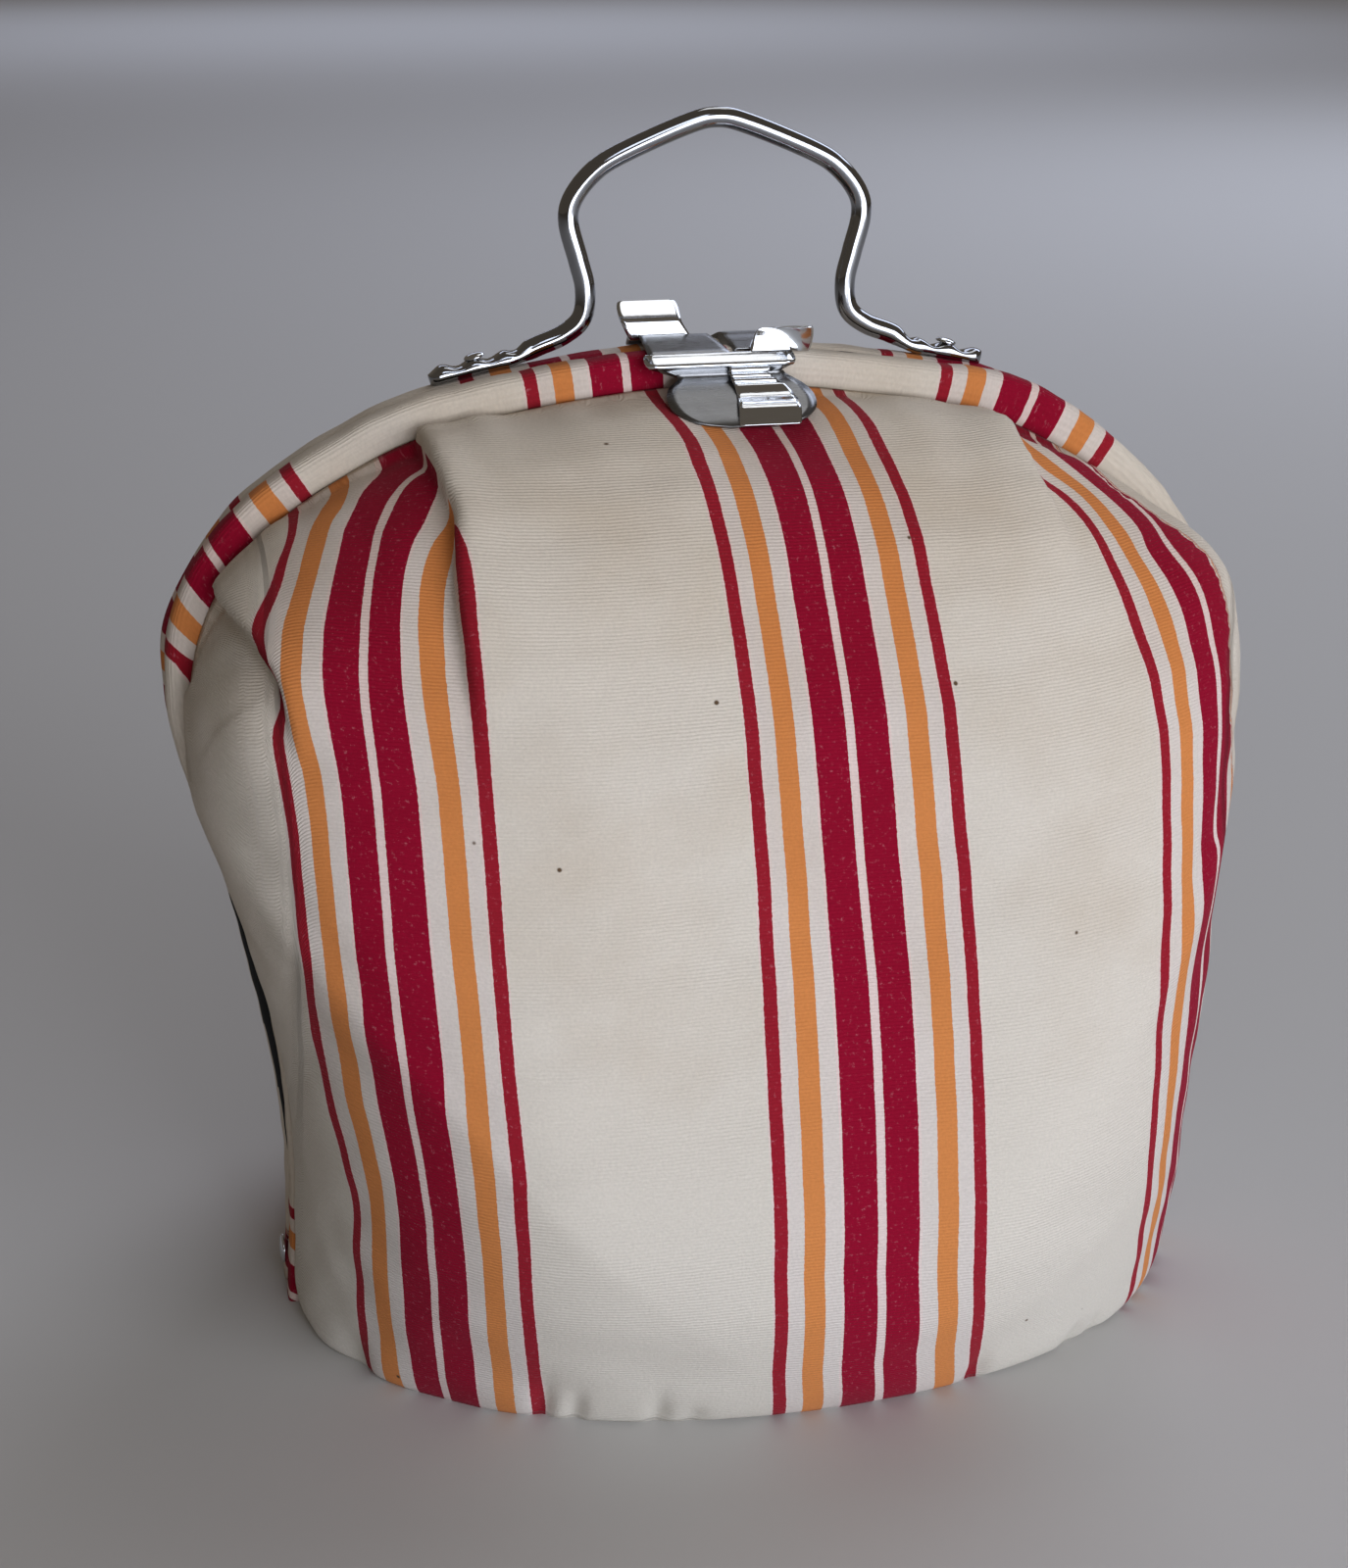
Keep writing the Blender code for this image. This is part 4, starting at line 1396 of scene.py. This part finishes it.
@dataclass(frozen=True)
class Studio:
    """A plain pale floor, soft light from the right, and the camera."""

    camera_at: tuple = (-0.1579, -0.6796, 0.3851)
    camera_right: tuple = (0.97676, -0.21431, -0.00315)
    camera_up: tuple = (0.07215, 0.31495, 0.94636)
    focal: float = 2609.4  # in pixels of the photograph's frame
    sensor: float = 36.0
    nearest: float = 0.01  # that the camera sees
    floor_size: float = 80.0
    surround: tuple = ("#D2C2AE", 0.19)  # the weak, warm light all round
    panels: tuple = (
        Panel("key_panel", (0.88, -1.8, 0.42), 1.5, 36.5, "#F1F5FF"),
        Panel("low_panel", (0.0, -1.7, 0.1), 0.6, 7.0, "#F1F5FF", aim=(0, 0, 0.06)),
        Panel("top_panel", (0.4, 0.75, 2.0), 0.8, 3.2, "#FFFFFF"),
        Panel("camera_side_panel", (0.0, -1.6, 1.3), 0.5, 2.8, "#E6EEFF"),
        Panel("floor_panel", (2.3, 2.4, 2.3), 2.6, 64, "#E0E9FF", aim=(2.1, 2.5, 0)),
        Panel("far_panel", (1.3, 8.8, 3.0), 5.0, 105, "#DCE6FF", aim=(1.3, 9.0, 0)),
    )

    def place_camera(self) -> None:
        """Put the camera where the photograph was taken from."""
        data = bpy.data.cameras.new("camera")
        data.sensor_width = self.sensor
        data.lens = self.focal * self.sensor / max(PHOTO_WIDTH, PHOTO_HEIGHT)
        data.clip_start = self.nearest
        camera = bpy.data.objects.new("camera", data)
        right, up = Vector(self.camera_right).normalized(), Vector(self.camera_up).normalized()
        back = right.cross(up).normalized()
        up = back.cross(right)
        turn = Matrix((right, up, back)).transposed().to_4x4()
        camera.matrix_world = Matrix.Translation(self.camera_at) @ turn
        bpy.context.scene.collection.objects.link(camera)
        bpy.context.scene.camera = camera

    def lay_floor(self, finish: Material) -> None:
        """Lay the floor under the cosy.

        Args:
            finish: Its material.
        """
        half = self.floor_size / 2
        corners = [(-half, -half, 0), (half, -half, 0), (half, half, 0), (-half, half, 0)]
        floor = mesh_object("studio_floor", np.array(corners), [(0, 1, 2, 3)], finish)

    def light(self) -> None:
        """Hang the panels and set the light all round."""
        for panel in self.panels:
            panel.hang()
        world = bpy.data.worlds.new("studio_world")
        world.use_nodes = True
        shade, strength = self.surround
        plug(world.node_tree.nodes["Background"], {"Color": colour(shade), "Strength": strength})
        bpy.context.scene.world = world
        bpy.context.scene.view_settings.view_transform = "Standard"


# -------------------------------------------------------------- measured forms

# The creases part the cloth into fields: 0 left of the outer left pleat, 1 up
# to the inner left pleat, 2 up to the right crease, and 3 beyond it.
MIDDLE_STRIPES = (
    Stripe(-26.75, ((0, -3.2), (20, -6.2), (54, -7.9), (81, -7.8), (105, -7.4), (128, -7),
                    (152, -6.4), (176, -7.2), (195, -7.3), (212, -8.4), (230, -9.8),
                    (245, -11.3), (258, -12.9), (263, -17), (270, -26))),
    Stripe(0, ((0, 25), (20, 21), (51, 18.9), (78, 19), (102, 19.9), (126, 20.2), (150, 19.6),
               (175, 18.5), (198, 17.9), (221, 15.7), (244, 14.8), (255, 14), (261, 12.8),
               (270, 6))),
    Stripe(26.75, ((0, 54), (20, 49.5), (47, 45.7), (75, 45.4), (100, 46.4), (124, 46.9), (148, 47),
                   (173, 45.4), (192, 44.9), (211, 42.9), (227, 41.2), (240, 40), (254, 37.1),
                   (259, 36.1), (270, 26))),
)
LOW_STRIPES = (
    Stripe(-144.75, ((0, -111.5), (20, -110.8), (41, -111.9), (66, -112.8), (86, -116.9),
                     (109, -120.3), (135, -121.4), (155, -122.6), (172, -122.9), (186, -123.8),
                     (191, -123.9), (197, -121.5), (204, -122.6))),
    Stripe(-136, ((0, -103.6), (21, -104.9), (49, -107), (75, -107.8), (96, -111.6), (120, -114.1),
                  (141, -115.6), (161, -116.6), (180, -116.8), (189, -118.1), (204, -118.9))),
    Stripe(-118, ((0, -91), (29, -92.9), (57, -94.6), (80, -96.4), (102, -99.3), (123, -100.8),
                  (143, -101.7), (162, -101.9), (180, -102.1), (198, -103), (204, -103))),
    Stripe(-100, ((0, -75), (30, -78.3), (67, -80.5), (96, -82.6), (122, -82.9), (145, -84),
                  (179, -84.5), (196, -86.2), (204, -86.7))),
    Stripe(-91.25, ((0, -67.4), (47, -71.8), (76, -73.1), (110, -74.9), (141, -75.4), (160, -75.5),
                    (182, -75.8), (204, -75.4))),
    Stripe(91.25, ((0, 110), (15, 108.6), (42, 105.9), (73, 101.8), (108, 103.4), (140, 105.1),
                   (160, 107.1), (170, 107.4), (180, 107), (190, 105.7), (200, 103.4), (212, 99.4),
                   (223, 95.9))),
    Stripe(100, ((0, 116), (36, 113.4), (69, 109), (103, 111.6), (138, 112.7), (164, 115.1),
                 (179, 114.5), (194, 113.2), (203, 110.8), (213, 107.2), (223, 102.6))),
    Stripe(118, ((145, 125.4), (157, 127.3), (178, 127.6), (193, 125.5), (200, 122.8),
                 (208, 119.9), (213, 117.2), (218, 114.3), (223, 112.5))),
)
LEFT_HIGH_STRIPES = (
    Stripe(-144.75, ((205, -122.7), (208, -123.8), (212, -125.2), (215, -125.3), (218, -124),
                     (222, -122.4), (228, -119.9), (233, -117), (237, -113.9), (244, -107),
                     (255, -97))),
    Stripe(-136, ((205, -118.8), (215, -118.2), (222, -116.2), (230, -113.2), (238, -108.8),
                  (243, -102.5), (255, -91))),
    Stripe(-118, ((205, -103), (219, -101.4), (228, -99.7), (232, -98.5), (238, -96.6),
                  (243, -93.4), (247, -90.2), (250, -86), (252, -80.6), (257, -75))),
    Stripe(-100, ((205, -86.8), (217, -86.7), (226, -85.5), (231, -84), (237, -80.4), (239, -77.2),
                  (247, -72), (256, -66))),
    Stripe(-91.25, ((205, -75.4), (215, -74.6), (226, -73.6), (235, -69), (247, -62), (256, -56))),
)
HIDDEN_LEFT_STRIPES = (Stripe(-144.75, ((205, -119), (212, -117), (225, -116))),)
UNDER_LIP_STRIPES = (
    Stripe(-91.25, ((205, -75.4), (216, -75.5), (224, -75.3), (229, -75.3), (233, -75.6),
                    (236, -76.2), (239, -77.5), (242, -80), (246, -84), (252, -88), (262, -94))),
)
RIGHT_HIGH_STRIPES = (
    Stripe(91.25, ((224, 95.7), (230, 93.2), (234, 90.9), (239, 86.6), (243, 80), (250, 71),
                   (262, 52))),
    Stripe(100, ((224, 102.2), (227, 100.6), (233, 97.1), (238, 93.2), (242.7, 87.9), (246, 84.2),
                 (248.7, 81), (252, 77), (262, 62))),
    Stripe(107.9, ((224, 108.2), (225.5, 107.8), (230.6, 105.1), (235.4, 100.6), (240.5, 94.6),
                   (246, 87.6), (252, 80.2), (262, 66))),
    Stripe(118, ((224, 112.6), (226.9, 111.6), (230, 109.4), (233.1, 106.6), (236, 103.6),
                 (240, 98.8), (246, 91.6), (252, 84.8), (262, 69))),
)
STRIPE_FIELDS = (
    MIDDLE_STRIPES + LOW_STRIPES + HIDDEN_LEFT_STRIPES + RIGHT_HIGH_STRIPES,
    MIDDLE_STRIPES + LOW_STRIPES + LEFT_HIGH_STRIPES + RIGHT_HIGH_STRIPES,
    MIDDLE_STRIPES + LOW_STRIPES + UNDER_LIP_STRIPES,
    MIDDLE_STRIPES + LOW_STRIPES + RIGHT_HIGH_STRIPES,
)
# Where the casing's stripes lie: (distance along the rim from its top, place
# across the cloth), from the left base corner over the top to the right one.
FRONT_CASING = (
    (-400, -257), (-350, -207), (-182.5, -148), (-178.3, -144.5), (-164.3, -133.5),
    (-146.3, -116.4), (-127.5, -100), (-118.9, -91.25), (-48.8, -26.75), (-22.9, 0),
    (69.5, 92.3), (94.9, 118), (121.7, 144.75), (124.5, 147.6), (340, 207), (400, 267),
)
REAR_CASING = (
    (-397.5, -265), (-367, -237), (-365.5, -207), (-194, -144.5), (-164.8, -115.6),
    (-145.8, -99.5), (-137.4, -91.25), (-67, -26.75), (-40.3, 0), (77.6, 118),
    (104.4, 144.75), (107.3, 147.6), (340, 207), (400, 267),
)

FRONT_PLEATS = (
    Pleat(((-137, 216.5), (-132.5, 214.4), (-129, 212), (-125.5, 207.7), (-122, 202.5),
           (-120.9, 196), (-120.3, 188), (-120.5, 180)), step=9, width=16, lip=1),
    Pleat(((-82, 254.5), (-79.2, 251.5), (-77.6, 247), (-75.9, 241.5), (-76.6, 234.8), (-77.4, 226),
           (-77.2, 212), (-76.5, 196), (-76.4, 178)), step=9, width=20, lip=1, edge=1.3),
    Pleat(((79, 255), (77.6, 251.5), (78.2, 248), (79.2, 245.8), (80, 242.5), (81, 239),
           (83.2, 232), (84.2, 225), (84.6, 212)), step=5, width=14, lip=-1, edge=2.4),
    Pleat(((-143, 196), (-146, 180), (-147, 160)), step=4, width=10, lip=1, lap=0),
    Pleat(((84, 249), (103, 239), (126, 225)), step=5, width=12, lip=-1, edge=2.6, lap=0),
)
FRONT_PUFFS = (
    Puff(127, 211, radius=21, height=8.5), Puff(-128, 196, radius=16, height=3),
    Puff(4, 261, radius=22, height=-5.5), Puff(134, 110, radius=32, height=3.5),
    Puff(126, 104, radius=28, height=3), Puff(136, 68, radius=48, height=8),
    Puff(-100, 238, radius=18, height=-1.5),
)
FRONT_PUCKERS = (
    Pucker(-114, width=4, height=24, depth=3.4), Pucker(-66.5, width=3, height=26, depth=3.4),
    Pucker(-58, width=2.6, height=20, depth=3), Pucker(-36.5, width=3, height=22, depth=2.8),
    Pucker(-27, width=3, height=14, depth=1.8), Pucker(53.5, width=3.5, height=24, depth=3.2),
    Pucker(87, width=3.5, height=20, depth=2.4), Pucker(95, width=3, height=16, depth=2),
    Pucker(12, width=8, height=14, depth=0.8), Pucker(-92, width=9, height=18, depth=1.6),
)
REAR_PLEATS = (
    Pleat(((133, 220), (126, 210), (121, 182)), step=8, width=16, lip=-1),
    Pleat(((78, 255), (79, 238), (80, 176)), step=8, width=20, lip=-1),
    Pleat(((-80, 251), (-82, 238), (-82, 210)), step=6, width=16, lip=1, edge=2.4),
    Pleat(((-128, 226), (-122, 214), (-118, 190)), step=7, width=14, lip=1, edge=2.4, lap=0.5),
)
REAR_PUFFS = (
    Puff(-122, 224, radius=18, height=4), Puff(126, 200, radius=18, height=3),
    Puff(-2, 261, radius=22, height=-5.5),
)
REAR_PUCKERS = (
    Pucker(104, width=5, height=22, depth=3), Pucker(60, width=4, height=26, depth=2.4),
    Pucker(-30, width=4, height=20, depth=2), Pucker(-84, width=5, height=24, depth=2.6),
)
# Strips of the clasp in mm: rows of points (x, y, z), or (y, z, left, right) of straight rows.
PLATE = flat_strip(
    (-32.4, 256.7, -1, 11.5), (-31.8, 257.3, -7, 16.6), (-30.4, 258.3, -11.6, 20.4),
    (-27.2, 260.3, -15.2, 23.6), (-23.2, 262.8, -16.2, 23.9), (-19.6, 264.9, -15, 22.2),
    (-17.2, 266.4, -12.3, 19.6), (-16.2, 267.4, -11.7, 18), (-15.9, 268.4, -13.2, 17.2),
)
RIDGE = flat_strip(
    (-15.8, 267.7, -12.6, 14.6), (-16.1, 268.7, -15.4, 16.8), (-16.6, 269.9, -18.6, 18.9),
    (-17.2, 270.4, -19.8, 19.9), (-17.0, 270.9, -20.3, 20.4), (-16, 271.4, -20.6, 20.6),
    (-14.4, 272.2, -20.6, 20.6), (-13.3, 272.8, -20.2, 20.3), (-12.7, 272.9, -19.6, 19.8),
    (-12.4, 272.3, -19, 19.2),
)
BAND = flat_strip(
    (-16.6, 269.9, 2.2, 13), (-17.7, 269.2, 2.1, 13.4), (-17.4, 268.2, 2, 12.4),
    (-18.6, 267.8, 2.2, 13.2), (-18.5, 267, 2.3, 14), (-19.6, 266.6, 2.4, 14.6),
    (-19.6, 265.8, 2.5, 15.4), (-21, 265.4, 2.7, 16.4), (-22.4, 263.9, 2.8, 17.8),
    (-24.4, 262.7, 2.6, 18.6), (-27.4, 261.9, 2.2, 18.8), (-29.8, 260.8, 1.9, 18.7),
    (-31.3, 258.9, 1.6, 18.5), (-32.4, 257.4, 1.4, 18.2), (-32.8, 256.9, 1.8, 17.6),
)
# A flange's free edge is turned down.
FRONT_FLANGE = tuple((left, end, (end[0] + 0.5, end[1], end[2] - 0.7)) for left, end in flat_strip(
    (-12.4, 272.6, -18.8, 3.4), (-11, 273.3, -18.8, 3), (-8, 274, -18.8, 2.4),
    (-4, 274.8, -18.6, 1.6), (0, 275.4, -18.3, 0.9), (2.6, 275.7, -18.3, 0.4),
))
FRONT_EAR = (
    ((8.8, -12.4, 272.4), (20, -12.2, 272.8), (25.8, -9.8, 272.3)),
    ((9.6, -12, 274.7), (18.8, -11.7, 274.9), (26.4, -10.7, 274.2)),
    ((10.3, -11.4, 276.8), (17.1, -11.2, 276.9), (26.6, -12, 277)),
    ((11.3, -10.8, 278.4), (15.7, -10.8, 278.6), (26.3, -13, 279)),
    ((12.6, -10.7, 279), (15.4, -10.8, 279.1), (25.6, -13.3, 279.3)),
)
REAR_FLANGE = tuple(((end[0] - 0.7, end[1], end[2] - 3), end, right) for end, right in flat_strip(
    (12.4, 272.6, 3.4, 21.5), (9, 274.1, 3.6, 21.5), (4, 275.8, 4.8, 20), (0, 275.4, 5, 16),
    (-5, 274.8, 5.1, 12), (-10.8, 273.6, 5.4, 9.5),
))
REAR_EAR_ROOT = flat_strip(
    (12.4, 272.4, -20, -3), (8, 274.6, -20.5, -3.2), (3.8, 275.5, -20.7, -3.5),
)
REAR_EAR = flat_strip(
    (3.5, 274.7, -20.9, -3.2), (3.4, 275.6, -21.3, -3.9), (3.4, 277.2, -22, -5),
    (3.6, 278.8, -22.7, -6), (4, 279.9, -23.1, -6.4), (5.3, 281, -23.3, -6.5),
    (7.8, 282.5, -23.3, -6.4), (9.8, 283.7, -22.9, -6.8), (10.5, 284.1, -21.9, -7.8),
)


def main() -> None:
    """Build the studio, then every piece of the cosy."""
    logging.basicConfig(level=logging.INFO, format="%(name)s: %(message)s")
    studio = Studio()
    studio.place_camera()
    studio.lay_floor(MattFinish("studio_floor", "#C4C3C1", roughness=0.75).material())
    studio.light()
    cover = StripedCotton("striped_ribbed_cotton").material()
    casing = StripedCotton("striped_cotton_casing", uneven=0.25).material()
    inside = PlainCotton().material()
    chrome = ChromedWire().material()
    sheet = PressedSheet().material()
    dull = PressedSheet("dulled_plated_sheet", shade="#7E7F81", roughness=0.27,
                        haze=0.03, wave=5.0).material()
    # Painted shade: a near-black matt finish on the rims' meeting faces stands in for the deep
    # shade in the gap between them.
    gap_shade = MattFinish("painted_gap_shade", "#0B0C10", roughness=0.8).material()
    arch = Arch()
    HalfShell(arch, Side.FRONT, FRONT_PLEATS, FRONT_PUFFS, FRONT_PUCKERS, STRIPE_FIELDS,
              turned=1).build(cover, inside)
    HalfShell(arch, Side.REAR, REAR_PLEATS, REAR_PUFFS, REAR_PUCKERS, STRIPE_FIELDS,
              turned=-1, seed=11).build(cover, inside)
    Rim(arch, Side.FRONT, FRONT_CASING).build(casing, gap_shade)
    Rim(arch, Side.REAR, REAR_CASING, tuck=4.6 * MM, peep=2.2 * MM, seed=27).build(casing, gap_shade)
    Handle(arch).build(chrome, sheet)
    HingePins(arch).build(sheet)
    ClaspJaw(Side.FRONT, (PLATE, FRONT_FLANGE), (RIDGE, BAND, FRONT_EAR)).build(sheet, dull)
    ClaspJaw(Side.REAR, (turned_round(PLATE), REAR_FLANGE, REAR_EAR_ROOT),
             (turned_round(RIDGE), turned_round(BAND), REAR_EAR)).build(sheet, dull)


if __name__ == "__main__":
    main()
